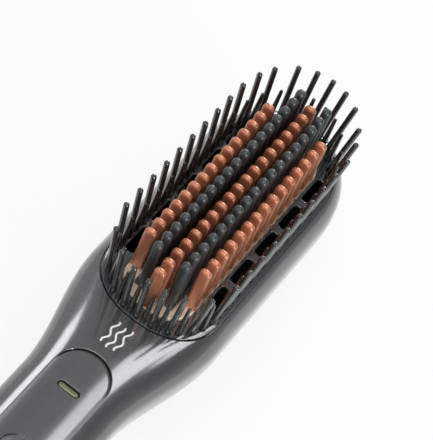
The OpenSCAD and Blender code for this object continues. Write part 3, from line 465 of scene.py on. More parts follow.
    def level_field(self, points: Array, crown: bool) -> Array:
        """Works out a value that is the same all over the surface and grows outwards.

        It is u^n + h^n over the parting line and share^n + (1 - flat^n) g^n under it.

        Args:
            points: Places near the surface.
            crown: Whether they lie above the parting line.

        Returns:
            The value at each.
        """
        x, y, z = points.T
        share = self.share_at(x, y)
        if crown:
            flat, n = self.crown_curve(x)
            u = np.clip((share - flat) / (1 - flat), 0, None)
            return u ** n + np.clip((z - self.part_z) / self.crown_height, 0, None) ** n
        n = mix(*self.back_powers, self.neck(x))
        g = np.clip((self.part_z - z) / self.part_z, 0, None)
        return np.clip(share, 0, None) ** n + (1 - self.back_flat ** n) * g ** n

    def normals(self, points: Array, crown: bool) -> Array:
        """Works out outward directions from central differences of the level field.

        Args:
            points: Places on the surface.
            crown: Whether they lie above the parting line.

        Returns:
            Unit vectors, turned towards -X round the tail's edge.
        """
        step = 0.01
        normal = unit(np.stack([
            self.level_field(points + step * axis, crown) -
            self.level_field(points - step * axis, crown) for axis in np.eye(3)], -1))
        c = self.tail_turn(points[:, :1])
        return unit(normal * np.sqrt(1 - c * c) - c * ALONG)


FORM = BodyForm()


class Outline:
    """Closed line in the plane that a solid stands on."""

    def line(self, grow: float) -> Array:
        """Returns the line's points, counter-clockwise, moved outwards by grow."""
        raise NotImplementedError

    def ring(self, grow: float, z: Array) -> Array:
        """Returns the grown line at height z, which is one number or one for each point."""
        line = self.line(grow)
        return np.column_stack([line, np.broadcast_to(z, len(line))])

    def stack(self, profile: Sequence[tuple[float, Array]], high: Kind = Kind.FLAT) -> Shape:
        """Returns the solid whose rings are the profile's pairs of growth and height."""
        return ring_stack(np.stack([self.ring(g, z) for g, z in profile]), Kind.ROUND, high=high)

    def solid(self, z0: float, z1: float, grow: float = 0.0, edge: float = 0.0) -> Shape:
        """Returns the upright solid from z0 to z1, with a quarter-round along its top edge."""
        top = rounded(grow, z1, edge, edge) if edge else [(grow, z1)]
        return self.stack([(grow, z0)] + top)

    def plug(self, z0: float, edge: float, grow: float = 0.0, drop: float = 0.0,
             z1: float | None = None) -> Shape:
        """Builds an upright form whose wall is rounded off where it meets the surface.

        Up the wall, then in along w(1 - cos a), d sin a to 75 degrees, on along that slope to just
        above the surface, and straight up.

        Args:
            z0: Height of its underside.
            edge: Width w of the rounded edge; negative if the form widens there.
            grow: How far it is larger than the line.
            drop: Depth d of the rounded edge; its width if none is given.
            z1: Height of the surface; the crown's own height if none is given.

        Returns:
            The closed form.
        """
        rim = self.line(grow - edge)
        top = FORM.crown_z(*rim.T) if z1 is None else z1 + np.zeros(len(rim))
        drop = drop or abs(edge)
        profile = [(grow, z0)] + rounded(grow, top, edge, drop, SLOPE)
        reach = profile[-1][0] - RUN_OUT * edge / drop
        return self.stack(profile + [(reach, top + OVER), (reach, ABOVE_ALL)])

    def opening(self, z0: float, edge: float, grow: float = 0.0, z1: float | None = None) -> Shape:
        """Returns the cutter of an opening whose upper edge is rounded over."""
        return self.plug(z0, -edge, grow, z1=z1)


@dataclass(frozen=True)
class Oval(Outline):
    """Straight sides between a superelliptic heel and tip."""

    heel_x: float
    heel_length: float
    tip_x: float
    tip_length: float
    half_width: float
    heel_power: float = 2.0
    tip_power: float = 2.0
    steps: int = 56

    @property
    def ends(self) -> tuple[tuple[float, float, float, int], ...]:
        """Place, length, power and direction of the heel and of the tip."""
        return ((self.heel_x, self.heel_length, self.heel_power, -1),
                (self.tip_x, self.tip_length, self.tip_power, 1))

    def line(self, grow: float) -> Array:
        """Works out x = c +- l cos^(2/p) a, y = w sin^(2/p) a at the ends, y = w between them.

        Args:
            grow: How far the line is moved outwards.

        Returns:
            The line's points.
        """
        a = np.linspace(0, np.pi / 2, self.steps)
        w = self.half_width + grow
        curves = []
        for centre, length, power, way in self.ends:
            curve = np.stack([centre + way * (length + grow) * np.cos(a) ** (2 / power),
                              w * np.sin(a) ** (2 / power)], -1)
            curve[-1] = centre, w
            curves.append(curve[::-way])
        run = np.linspace(self.heel_x, self.tip_x, 20)[1:-1]
        side = np.concatenate([curves[0], np.stack([run, np.full_like(run, w)], -1), curves[1]])
        return np.concatenate([side * [1, -1], side[-2:0:-1]])

    def width_at(self, x: Array) -> Array:
        """Works out the half width, which is w (1 - u^p)^(1/p) at share u of an end.

        Args:
            x: Places along the oval.

        Returns:
            The half width at each.
        """
        share = np.ones_like(x)
        for centre, length, power, way in self.ends:
            share = share * (1 - np.clip(way * (x - centre) / length, 0, 1) ** power) ** (1 / power)
        return self.half_width * share

    def end_at(self, y: Array, end: int) -> Array:
        """Returns where the heel (0) or the tip (1) lies at y: c +- l (1 - (y / w)^p)^(1/p)."""
        centre, length, power, way = self.ends[end]
        return centre + way * length * (1 - (y / self.half_width) ** power) ** (1 / power)

    def outward(self, x: Array, y: Array) -> Array:
        """Works out the direction away from the oval at points on its +Y side.

        Args:
            x: Places along the oval.
            y: Places across it.

        Returns:
            Angles from +X: those of the superellipse's slope, and 90 degrees between the ends.
        """
        angle = np.full_like(x, np.pi / 2)
        for centre, length, power, way in self.ends:
            run = way * (x - centre) / length
            slope = np.arctan2((y / self.half_width) ** (power - 1) / self.half_width,
                               way * np.clip(run, 0, 1) ** (power - 1) / length)
            angle = np.where(run > 0, slope, angle)
        return angle


@dataclass(frozen=True)
class Stadium(Outline):
    """Long shape with round ends, lying along X."""

    x0: float
    x1: float
    width: float
    steps: int = 36

    def line(self, grow: float) -> Array:
        """Works out half circles round the two end centres and the sides between them.

        Args:
            grow: How far the line is moved outwards.

        Returns:
            The line's points.
        """
        r = self.width / 2
        a = np.linspace(-np.pi / 2, np.pi / 2, self.steps)
        run = np.linspace(self.x0 + r, self.x1 - r, 24)[1:-1]
        ends = np.stack([np.cos(a), np.sin(a)], -1) * (r + grow)
        return np.concatenate([
            np.stack([run, np.full_like(run, -r - grow)], -1), ends + [self.x1 - r, 0],
            np.stack([run[::-1], np.full_like(run, r + grow)], -1), -ends + [self.x0 + r, 0]])


@dataclass(frozen=True)
class Pad(Outline):
    """Rectangle with quarter-round corners; a disc if its corners take it all."""

    x: float
    y: float
    length: float
    width: float
    radius: float
    steps: int = 12

    @staticmethod
    def disc(x: float, y: float, radius: float, steps: int = 16) -> "Pad":
        """Returns a round line."""
        return Pad(x, y, 2 * radius, 2 * radius, radius, steps)

    def line(self, grow: float) -> Array:
        """Works out quarter circles round the four corner centres.

        Args:
            grow: How far the line is moved outwards.

        Returns:
            The line's points.
        """
        reach = np.array([self.length / 2 - self.radius, self.width / 2 - self.radius])
        start = np.pi / 2 * np.arange(-1, 3)[:, None]
        a = start + np.linspace(0, np.pi / 2, self.steps, endpoint=bool(reach.any()))
        signs = np.array([[1, -1], [1, 1], [-1, 1], [-1, -1]])
        corners = (self.radius + grow) * np.stack([np.cos(a), np.sin(a)], -1)
        return (corners + (signs * reach)[:, None]).reshape(-1, 2) + [self.x, self.y]


SEAM = Oval(68.0, 18.1, 124.0, 26.8, 20.8, 2.3, 2.12)
PIN_RING = Oval(68.0, 15.7, 124.0, 24.4, 18.4, 2.3, 2.12)
HOT = Oval(64.6, 9.7, 132.2, 11.0, 12.5)
PANEL = Stadium(-70.9, 33.1, 18.6)
LENS = Pad(18.4, 0.0, 2.3, 7.5, 1.149)
BUTTONS = {"power_button": -7.6, "heat_button": -27.6, "cool_button": -47.6}
PLATE_Z, DECK_Z, PANEL_Z = 31.8, 34.0, 31.6


def shade(mesh: bpy.types.Mesh) -> None:
    """Gives every face corner its normal, by the kind of its face.

    A flat face has its own normal, the crown and the back have their level field's, and a round
    face has the mean of the round faces at that point, weighted by their areas.

    Args:
        mesh: A mesh in millimetres with kinds as material numbers.
    """
    faces = mesh.polygons
    corner = read(mesh.loops, "vertex_index")
    points = read(mesh.vertices, "co", np.float32, 3).astype(float)
    area = read(faces, "area", np.float32)
    kind = read(faces, "material_index")
    face = np.repeat(np.arange(len(faces)), read(faces, "loop_total"))
    own = read(faces, "normal", np.float32, 3)[face].astype(float)
    result = own.copy()
    for which in (Kind.CROWN, Kind.BACK):
        mask = kind[face] == which.value
        if mask.any():
            result[mask] = FORM.normals(points[corner[mask]], which is Kind.CROWN)
    mask = kind[face] == Kind.ROUND.value
    summed = np.zeros_like(points)
    np.add.at(summed, corner[mask], own[mask] * area[face[mask], None])
    result[mask] = unit(summed)[corner[mask]]
    lost = (result * own).sum(1) < LEAST_COSINE
    result[lost] = own[lost]
    faces.foreach_set("use_smooth", np.ones(len(faces), bool))
    mesh.normals_split_custom_set(result.tolist())


@dataclass
class Blank:
    """A solid that is cut to shape in millimetres and then finished as a piece."""

    name: str
    shape: Shape
    work: bpy.types.Object = field(init=False)

    def __post_init__(self) -> None:
        """Makes the working object."""
        self.work = put(self.name, self.shape.mesh(self.name))

    def carve(self, shapes: Sequence[Shape], join: Join = Join.CUT) -> "Blank":
        """Cuts the solid with one or more cutters that don't overlap each other.

        Args:
            shapes: The cutters.
            join: Whether they are taken away or what lies inside them is kept.

        Returns:
            The blank itself.
        """
        tool = put("cutter", Shape.joined(shapes).mesh("cutter"))
        for solver in ("MANIFOLD", "EXACT"):
            cut = self.work.modifiers.new("cut", "BOOLEAN")
            cut.operation, cut.object, cut.solver = join.value, tool, solver
            cut.material_mode = "INDEX"
            graph = bpy.context.evaluated_depsgraph_get()
            result = bpy.data.meshes.new_from_object(self.work.evaluated_get(graph))
            self.work.modifiers.remove(cut)
            if len(result.polygons) > 8 and len(result.vertices) != len(self.work.data.vertices):
                break
            LOG.warning("%s: the %s solver changed nothing", self.name, solver)
        self.work.data = result
        bpy.data.objects.remove(tool)
        return self

    def add(self, shapes: Sequence[Shape]) -> "Blank":
        """Adds loose solids to the piece.

        Args:
            shapes: The solids.

        Returns:
            The blank itself.
        """
        both = [self.work, put("extra", Shape.joined(shapes).mesh("extra"))]
        with bpy.context.temp_override(active_object=self.work, object=self.work,
                                       selected_objects=both, selected_editable_objects=both):
            bpy.ops.object.join()
        return self

    def take(self) -> Shape:
        """Reads the blank back as a shape of triangles and removes its object.

        Returns:
            The shape, with the kinds of its faces.
        """
        mesh = self.work.data
        mesh.calc_loop_triangles()
        points = read(mesh.vertices, "co", np.float32, 3).astype(float)
        corners = read(mesh.loop_triangles, "vertices", width=3)
        parents = read(mesh.loop_triangles, "polygon_index")
        kinds = read(mesh.polygons, "material_index")[parents]
        bpy.data.objects.remove(self.work)
        return Shape(points, [(corners[kinds == k.value], k) for k in Kind
                              if (kinds == k.value).any()])

    def finish(self, palette: "Palette", slot: str, body: str = "housing", look: str = "",
               stands_for_node: bool = True) -> bpy.types.Object:
        """Shades the piece, brings it to metres and gives it its finish and body.

        Args:
            palette: Where the finish comes from.
            slot: The material slot that the finish belongs to.
            body: The body that the piece rides on.
            look: Name of its finish; the slot's own if none is given.
            stands_for_node: Whether it takes the place of the model's node of the same name.

        Returns:
            The finished piece.
        """
        mesh = self.work.data
        shade(mesh)
        mesh.transform(Matrix.Scale(MM, 4))
        mesh.polygons.foreach_set("material_index", np.zeros(len(mesh.polygons), np.int32))
        mesh.materials.clear()
        mesh.materials.append(palette[look or slot])
        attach(self.work, body)
        if stands_for_node:
            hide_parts(self.name)
            palette.replaced.add(self.name)
        LOG.info("%s: %d faces", self.name, len(mesh.polygons))
        return self.work


@dataclass
class Graph:
    """A tree of shader nodes that is built node by node."""

    tree: Any

    def feed(self, node: Any, inputs: dict[Any, Any]) -> None:
        """Gives each named or numbered input its value, or links it if that is a socket.

        Args:
            node: The node.
            inputs: Values or sockets, by the input's name or number.
        """
        for key, value in inputs.items():
            if isinstance(value, bpy.types.NodeSocket):
                self.tree.links.new(value, node.inputs[key])
            else:
                node.inputs[key].default_value = value

    def add(self, kind: str, inputs: dict[Any, Any] | None = None, **fields: Any) -> Any:
        """Adds a node.

        Args:
            kind: The node's type, without the words that all types begin with.
            inputs: Its inputs' values or the sockets that they are linked to.
            fields: Its other settings.

        Returns:
            The node's outputs.
        """
        node = self.tree.nodes.new("ShaderNode" + kind)
        for name, value in fields.items():
            setattr(node, name, value)
        self.feed(node, inputs or {})
        return node.outputs

    def math(self, operation: str, *values: Any, clamp: bool = False) -> Any:
        """Returns the result of a sum over sockets and numbers."""
        return self.add("Math", dict(enumerate(values)), operation=operation, use_clamp=clamp)[0]

    def span(self, socket: Any, near: Pair, to: Pair,
             **fields: Any) -> Any:
        """Returns a socket that spreads the values in one range over another."""
        ends = zip(("From Min", "From Max", "To Min", "To Max"), (*near, *to))
        return self.add("MapRange", {"Value": socket, **dict(ends)}, **fields)["Result"]

    def choose(self, share: Any, first: Any, second: Any, out: str) -> None:
        """Ends the graph with two shaders, of which the second has this share."""
        mixed = self.add("MixShader", {0: share, 1: first, 2: second})[0]
        self.add(out, {"Surface": mixed})


@dataclass(frozen=True)
class Finish:
    """A surface finish: its shader's numbers, its tones and its grain.

    Tone is a share by which a slow noise lightens and darkens the colour. Grain is the size in
    millimetres of a fine noise that moves the roughness, the colour and the surface.
    """

    name: str
    color: Triple
    metallic: float = 0.0
    roughness: float = 0.4
    coat: float = 0.0
    coat_roughness: float = 0.05
    specular: float = 0.5
    clear: float = 0.0
    tone: float = 0.06
    tone_size: float = 9.0
    grain: float = 0.25
    fleck: float = 0.04
    bump: float = 0.06
    stretch: Triple = (1.0, 1.0, 1.0)

    def build(self) -> bpy.types.Material:
        """Makes the material.

        Returns:
            A material whose colour is the base colour times slow and fine noise, and whose bump
            is the fine noise.
        """
        material = bpy.data.materials.new(self.name)
        material.use_nodes = True
        graph = Graph(material.node_tree)
        place = graph.add("Mapping", {
            "Vector": graph.add("TexCoord")["Object"], "Scale": self.stretch})["Vector"]
        slow, fine = (graph.add("TexNoise", {
            "Scale": 1 / (size * MM), "Detail": detail, "Vector": place})["Fac"]
            for size, detail in ((self.tone_size, 3.0), (self.grain, 2.0)))
        tones, flecks, roughness = (
            graph.span(noise, MIDDLE, (mean * (1 - share), mean * (1 + share)))
            for noise, mean, share in ((slow, 1, self.tone), (fine, 1, self.fleck),
                                       (fine, self.roughness, ROUGHNESS_SHARE)))
        tint = graph.add("VectorMath", {
            0: self.color, "Scale": graph.math("MULTIPLY", tones, flecks)}, operation="SCALE")[0]
        bump = graph.add("Bump", {"Strength": self.bump, "Height": fine,
                                  "Distance": self.grain * MM * BUMP_DEPTH})["Normal"]
        graph.feed(material.node_tree.nodes["Principled BSDF"], {
            "Metallic": self.metallic, "Coat Weight": self.coat,
            "Coat Roughness": self.coat_roughness, "Specular IOR Level": self.specular,
            "Transmission Weight": self.clear, "Base Color": tint, "Roughness": roughness,
            "Normal": bump})
        return material


FINISHES = {
    "shell": Finish("gunmetal lacquer", (0.15, 0.155, 0.157), metallic=0.75, roughness=0.17,
                    coat=0.6, coat_roughness=0.05, tone=0.03, grain=0.3, fleck=0.12, bump=0.06),
    "panel_gloss": Finish("panel lacquer", (0.15, 0.155, 0.157), metallic=0.72, roughness=0.21,
                          coat=0.3, coat_roughness=0.06, tone=0.03, grain=0.3, fleck=0.06,
                          bump=0.04),
    "gloss_black": Finish("polished slate black", (0.02, 0.023, 0.027), roughness=0.1, coat=0.9,
                          specular=1.0, tone=0.1, grain=0.6, bump=0.03),
    "copper_metal": Finish("satin copper", (0.58, 0.215, 0.115), metallic=0.45, roughness=0.36,
                           coat=0.6, coat_roughness=0.14, tone=0.05, grain=0.2, fleck=0.05,
                           bump=0.08),
    "cool_plastic": Finish("heat-proof black", (0.026, 0.031, 0.033), roughness=0.4,
                           coat=0.4, coat_roughness=0.35, tone=0.08, grain=0.25, fleck=0.08,
                           bump=0.2),
    "champagne_metal": Finish("champagne anodising", (0.9, 0.76, 0.6), metallic=0.35,
                              roughness=0.35, grain=0.15, stretch=(0.2, 1, 1), bump=0.1),
    "lens": Finish("clear light pipe", (0.21, 0.225, 0.11), roughness=0.05, coat=1.0, clear=0.4,
                   specular=0.9, tone=0.02, fleck=0.01, bump=0.02),
    "button_plastic": Finish("button lacquer", (0.1, 0.103, 0.106), metallic=0.6, roughness=0.3,
                             coat=0.5, tone=0.03, grain=0.3, fleck=0.1),
    "dark_plastic": Finish("textured black", (0.02, 0.021, 0.022), roughness=0.5, grain=0.35,
                           fleck=0.08, bump=0.35),
    "filter_foam": Finish("dust gauze", (0.08, 0.08, 0.085), roughness=0.9, grain=0.5, fleck=0.3,
                          bump=0.8),
    "steel": Finish("plain steel", (0.6, 0.6, 0.61), metallic=1.0, roughness=0.28, grain=0.12,
                    stretch=(1, 0.15, 1), bump=0.12),
    "duct_plastic": Finish("black duct moulding", (0.035, 0.036, 0.038), roughness=0.5, grain=0.4,
                           bump=0.2),
    "rubber": Finish("mounting rubber", (0.015, 0.015, 0.015), roughness=0.8, grain=0.3, bump=0.3),
    "impeller_plastic": Finish("pale moulding", (0.5, 0.52, 0.54), roughness=0.38, grain=0.5),
    "winding": Finish("enamelled winding", (0.5, 0.2, 0.07), metallic=0.8, roughness=0.35,
                      grain=0.4, stretch=(0.2, 1, 1), fleck=0.35, bump=0.6),
    "rotor_iron": Finish("ground magnet", (0.1, 0.1, 0.115), metallic=0.7, roughness=0.4),
    "bronze": Finish("sintered bronze", (0.62, 0.42, 0.17), metallic=0.9, roughness=0.38,
                     grain=0.2, fleck=0.15, bump=0.3),
    "mica": Finish("pressed mica", (0.62, 0.54, 0.36), roughness=0.5, tone=0.25, tone_size=4.0,
                   grain=0.6, fleck=0.15, bump=0.25),
    "heater_wire": Finish("resistance wire", (0.42, 0.4, 0.38), metallic=1.0, roughness=0.35,
                          grain=0.2),
    "ceramic_white": Finish("white ceramic", (0.75, 0.75, 0.71), roughness=0.35, grain=0.3),
    "heater_aluminium": Finish("plain extrusion", (0.7, 0.7, 0.71), metallic=1.0, roughness=0.4,
                               grain=0.15, stretch=(0.1, 1, 1), bump=0.2),
    "insulator_film": Finish("amber film", (0.6, 0.27, 0.04), roughness=0.2, coat=0.4, grain=0.8),
    "frame_plastic": Finish("black frame moulding", (0.012, 0.012, 0.013), roughness=0.6,
                            grain=0.4),
    "board_green": Finish("solder mask", (0.02, 0.13, 0.055), roughness=0.3, coat=0.3, grain=0.6,
                          fleck=0.1),
    "part_black": Finish("component moulding", (0.02, 0.02, 0.02), roughness=0.55, grain=0.3),
    "module_blue": Finish("potting resin", (0.03, 0.04, 0.12), roughness=0.3, coat=0.5, grain=0.7),
    "pins": Finish("satin black pins", (0.016, 0.0165, 0.017), roughness=0.27, coat=0.6,
                   coat_roughness=0.12, specular=0.6, tone=0.1, grain=0.4, bump=0.05),
    "print": Finish("white print", (0.8, 0.81, 0.81), roughness=0.45, tone=0.02, fleck=0.03,
                    bump=0.05),
}


@dataclass
class Palette:
    """The finishes as materials, one for each of the model's material slots."""

    materials: dict[str, bpy.types.Material] = field(default_factory=dict)
    replaced: set[str] = field(default_factory=set)

    def __getitem__(self, name: str) -> bpy.types.Material:
        """Returns a finish's material, made when it is first asked for."""
        if name not in self.materials:
            self.materials[name] = FINISHES[name].build()
        return self.materials[name]

    def dress(self, frame: dict[str, Any]) -> None:
        """Gives every node that no finer piece stands for its slot's material.

        Args:
            frame: The loaded frame.
        """
        for part in frame["record"]["subparts"]:
            name, slot = part["node"], part["material_slot"]
            if name not in self.replaced:
                mesh = frame["nodes"][name].data
                mesh.materials.clear()
                mesh.materials.append(self[slot])
                LOG.info("%s: %s", name, FINISHES[slot].name)


@dataclass
class Housing:
    """Upper and lower housing: two thin shells that meet in a fine groove."""

    palette: Palette
    wall: float = 2.2
    wall_levels: int = 24
    seam_rim: float = 0.15
    ledge_out: float = 1.4
    ledge_in: float = -1.0
    panel_rim: float = 0.3
    panel_gap: float = 0.15
    tray_depth: float = 1.6
    tray_wall: float = 1.2
    stem_hole: float = 2.1
    tail_bore: float = 12.95
    tail_depth: float = 3.7
    tail_z: float = 17.0
    screw_x: Triple = (48.0, 101.6, 136.0)
    screw_inset: float = 5.2
    post_radius: float = 3.2
    post_top: float = 30.2
    head_radius: float = 2.4
    head_z: float = 14.1
    shank_radius: float = 1.35
    shank_top: float = 26.0

    def screw_places(self) -> list[Pair]:
        """Centres of the six housing screws.

        Returns:
            Pairs of x and y.
        """
        x = np.array(self.screw_x)
        run = np.clip(x - FORM.curve_x, 0, None) / FORM.tip_length
        y = FORM.half_width(x) * (1 - run ** FORM.tip_power) ** (1 / FORM.tip_power)
        return [(float(a), float(s * (b - self.screw_inset)))
                for a, b in zip(x, y) for s in (-1, 1)]

    def posts(self, z0: float, z1: float) -> list[Shape]:
        """Solid columns that are left round the screws when a half is hollowed."""
        return [Pad.disc(x, y, self.post_radius).solid(z0, z1) for x, y in self.screw_places()]

    def tail_hole(self) -> Shape:
        """Cutter of the round hole that the grille plugs into."""
        profile = [[self.tail_bore, 0.0], [self.tail_bore, self.tail_depth]]
        return turned(profile, (FORM.tail_x - 1, 0, self.tail_z), 72, ALONG)

    def well(self, x: float, y: float) -> Shape:
        """Cutter of a screw's well: wide up to its seat, then the shank's width.

        Args:
            x: The screw's place along the body.
            y: Its place across it.

        Returns:
            The closed cutter.
        """
        foot = -1.0
        profile = [[self.head_radius, 0.0], [self.head_radius, self.head_z - foot],
                   [self.shank_radius, self.head_z - foot],
                   [self.shank_radius, self.shank_top - foot]]
        return turned(profile, (x, y, foot), 40)

    def build(self) -> None:
        """Builds the upper housing with its seats and holes, and the lower with its screw wells."""
        ledge = Blank("ledge", SEAM.solid(PLATE_Z - 2, PLATE_Z + 0.5, self.ledge_out))
        ledge.carve([SEAM.solid(PLATE_Z - 3, PLATE_Z + 1, self.ledge_in)])
        rim = self.tray_wall
        tray = Stadium(PANEL.x0 - rim, PANEL.x1 + rim, PANEL.width + 2 * rim)
        hollow = Blank("hollow", FORM.half(True, self.wall, self.wall_levels))
        hollow.carve([tray.solid(PANEL_Z - self.tray_depth, DECK_Z + 0.5)])
        hollow.carve([ledge.take()])
        hollow.carve(self.posts(FORM.part_z - 2, self.post_top))
        upper = Blank("upper_housing", FORM.half(True))
        upper.carve([hollow.take()])
        upper.carve([SEAM.opening(PLATE_Z, self.seam_rim)])
        upper.carve([PANEL.opening(PANEL_Z, self.panel_rim, self.panel_gap)])
        low, high = PANEL_Z - self.tray_depth - 1, PANEL_Z + 0.5
        holes = [Pad.disc(x, 0, self.stem_hole).solid(low, high) for x in BUTTONS.values()]
        upper.carve(holes + [LENS.solid(low, high, self.panel_gap)])
        upper.carve([self.tail_hole()])
        upper.finish(self.palette, "shell")
        hollow = Blank("hollow", FORM.half(False, self.wall, self.wall_levels))
        hollow.carve(self.posts(-1, FORM.part_z + 2))
        lower = Blank("lower_housing", FORM.half(False))
        lower.carve([hollow.take()])
        lower.carve([self.well(x, y) for x, y in self.screw_places()])
        lower.carve([self.tail_hole()])
        lower.finish(self.palette, "shell")


@dataclass
class Controls:
    """Control panel with its lens and its three buttons."""

    palette: Palette
    panel_edge: Pair = (1.0, 0.4)
    panel_play: float = 0.4
    under_z: float = 30.0
    lens_edge: Pair = (0.25, 0.1)
    hole_edge: float = 0.2
    hole_radius: float = 4.9
    well_radius: float = 5.9
    well_top: float = 32.8
    lens_foot: float = 27.1
    lens_side: float = 33.0
    lens_dome: Pair = (0.9, 0.7)
    lens_play: float = 0.15
    button_radius: float = 4.6
    button_top: float = 34.5
    button_edge: float = 0.5
    face_radii: tuple[float, ...] = (3.9, 3.4, 2.8, 2.1, 1.4, 0.7, 0.05)
    dish_depth: float = 0.22
    flange_radius: float = 5.6
    flange_z: float = 32.2
    flange: float = 0.5
    stem_radius: float = 1.8
    sides: int = 64
    sign_line: float = 0.42
    mark_line: float = 0.6
    mark_x: float = 41.5
    mark_pitch: float = 2.4

    def panel(self) -> None:
        """Builds the panel: the crown's own surface, trimmed to a stadium."""
        blank = Blank("control_panel", FORM.half(True))
        width, drop = self.panel_edge
        blank.carve([PANEL.plug(PANEL_Z, width, -self.panel_play, drop)], Join.KEEP)
        blank.carve([LENS.opening(self.under_z, *self.lens_edge)])
        holes, wells = ([Pad.disc(x, 0, r, 20) for x in BUTTONS.values()]
                        for r in (self.hole_radius, self.well_radius))
        blank.carve([hole.opening(self.under_z, self.hole_edge) for hole in holes])
        blank.carve([well.solid(self.under_z, self.well_top) for well in wells])
        blank.finish(self.palette, "panel_gloss")

    def lens(self) -> None:
        """Builds the light pipe, with a domed top that is lowest along its edge."""
        width, rise = self.lens_dome
        dome = rounded(-self.lens_play, self.lens_side + rise, width, rise,
                       np.linspace(0, np.pi / 2, 9))
        shape = LENS.stack([(-self.lens_play, self.lens_foot)] + dome, Kind.ROUND)
        Blank("indicator_lens", shape).finish(self.palette, "lens")

    def dish(self, x: Array, y: Array, centre: float) -> Array:
        """Height of a button's face: lower by depth (1 - (r / radius)^2) inside that radius.

        Args:
            x: Places along the body.
            y: Places across it.
            centre: The button's place.

        Returns:
            The heights.
        """
        r = np.hypot(x - centre, y)
        share = np.clip(1 - (r / self.face_radii[0]) ** 2, 0, 1)
        return self.button_top - self.dish_depth * share

    def button(self, name: str, x: float) -> None:
        """Builds one button: a dished face with a rounded edge, a flange and a stem.

        Args:
            name: The button's name and its body's.
            x: Its place.
        """
        edge = rounded(self.button_radius, self.button_top, self.button_edge, self.button_edge,
                       np.linspace(0, np.pi / 2, 7))
        face = [(r, float(self.dish(np.array(x + r), np.array(0.0), x))) for r in self.face_radii]
        top = self.flange_z + self.flange
        square = [(self.stem_radius, self.under_z), (self.stem_radius, self.flange_z),
                  (self.flange_radius, self.flange_z), (self.flange_radius, top),
                  (self.button_radius, top)]
        shape = turned(square + edge + face, (x, 0, 0), self.sides)
        faces, kind = shape.groups[0]
        flat = (len(square) - 1) * self.sides
        shape.groups[:1] = [(faces[:flat], Kind.FLAT), (faces[flat:], kind)]
        Blank(name, shape).finish(self.palette, "button_plastic", name)

    def signs(self) -> None:
        """Prints the usual power, warm air and cool signs on the buttons' faces."""
        a = np.radians(np.linspace(35, 325, 40))
        ring = np.stack([np.cos(a), np.sin(a)], -1) * 1.7
        bar = np.stack([np.linspace(0.5, 2.2, 6), np.zeros(6)], -1)
        t = np.linspace(-1.8, 1.8, 30)
        waves = [np.stack([t, 0.35 * np.sin(t * 2.6) + y], -1) for y in (-1.2, 0.0, 1.2)]
        spokes = np.radians([0, 60, 120])
        arms = [np.linspace(-1.9, 1.9, 10)[:, None] * [np.cos(s), np.sin(s)] for s in spokes]
        for (body, x), lines in zip(BUTTONS.items(), ([ring, bar], waves, arms)):
            shapes = [ribbon(line + [x, 0], self.sign_line, lambda p, q: self.dish(p, q, x))
                      for line in lines]
            Blank(body.replace("button", "sign"), Shape.joined(shapes)).finish(
                self.palette, "button_plastic", body, "print", False)

    def airflow_mark(self) -> None:
        """Prints three plain wavy airflow lines on the deck in front of the brush plate."""
        t, pitch = np.linspace(-4.6, 4.6, 60), self.mark_pitch
        lines = [np.stack([self.mark_x + t + 0.6 * abs(y) / pitch, 0.55 * np.sin(t * 1.25) + y], -1)
                 for y in (-pitch, 0.0, pitch)]
        shapes = [ribbon(line, self.mark_line, FORM.crown_z, 0.02) for line in lines]
        Blank("airflow_mark", Shape.joined(shapes)).finish(
            self.palette, "shell", look="print", stands_for_node=False)

    def build(self) -> None:
        """Builds the panel with all that it carries, and the mark beside it."""
        self.panel()
        self.lens()
        for name, x in BUTTONS.items():
            self.button(name, x)
        self.signs()
        self.airflow_mark()


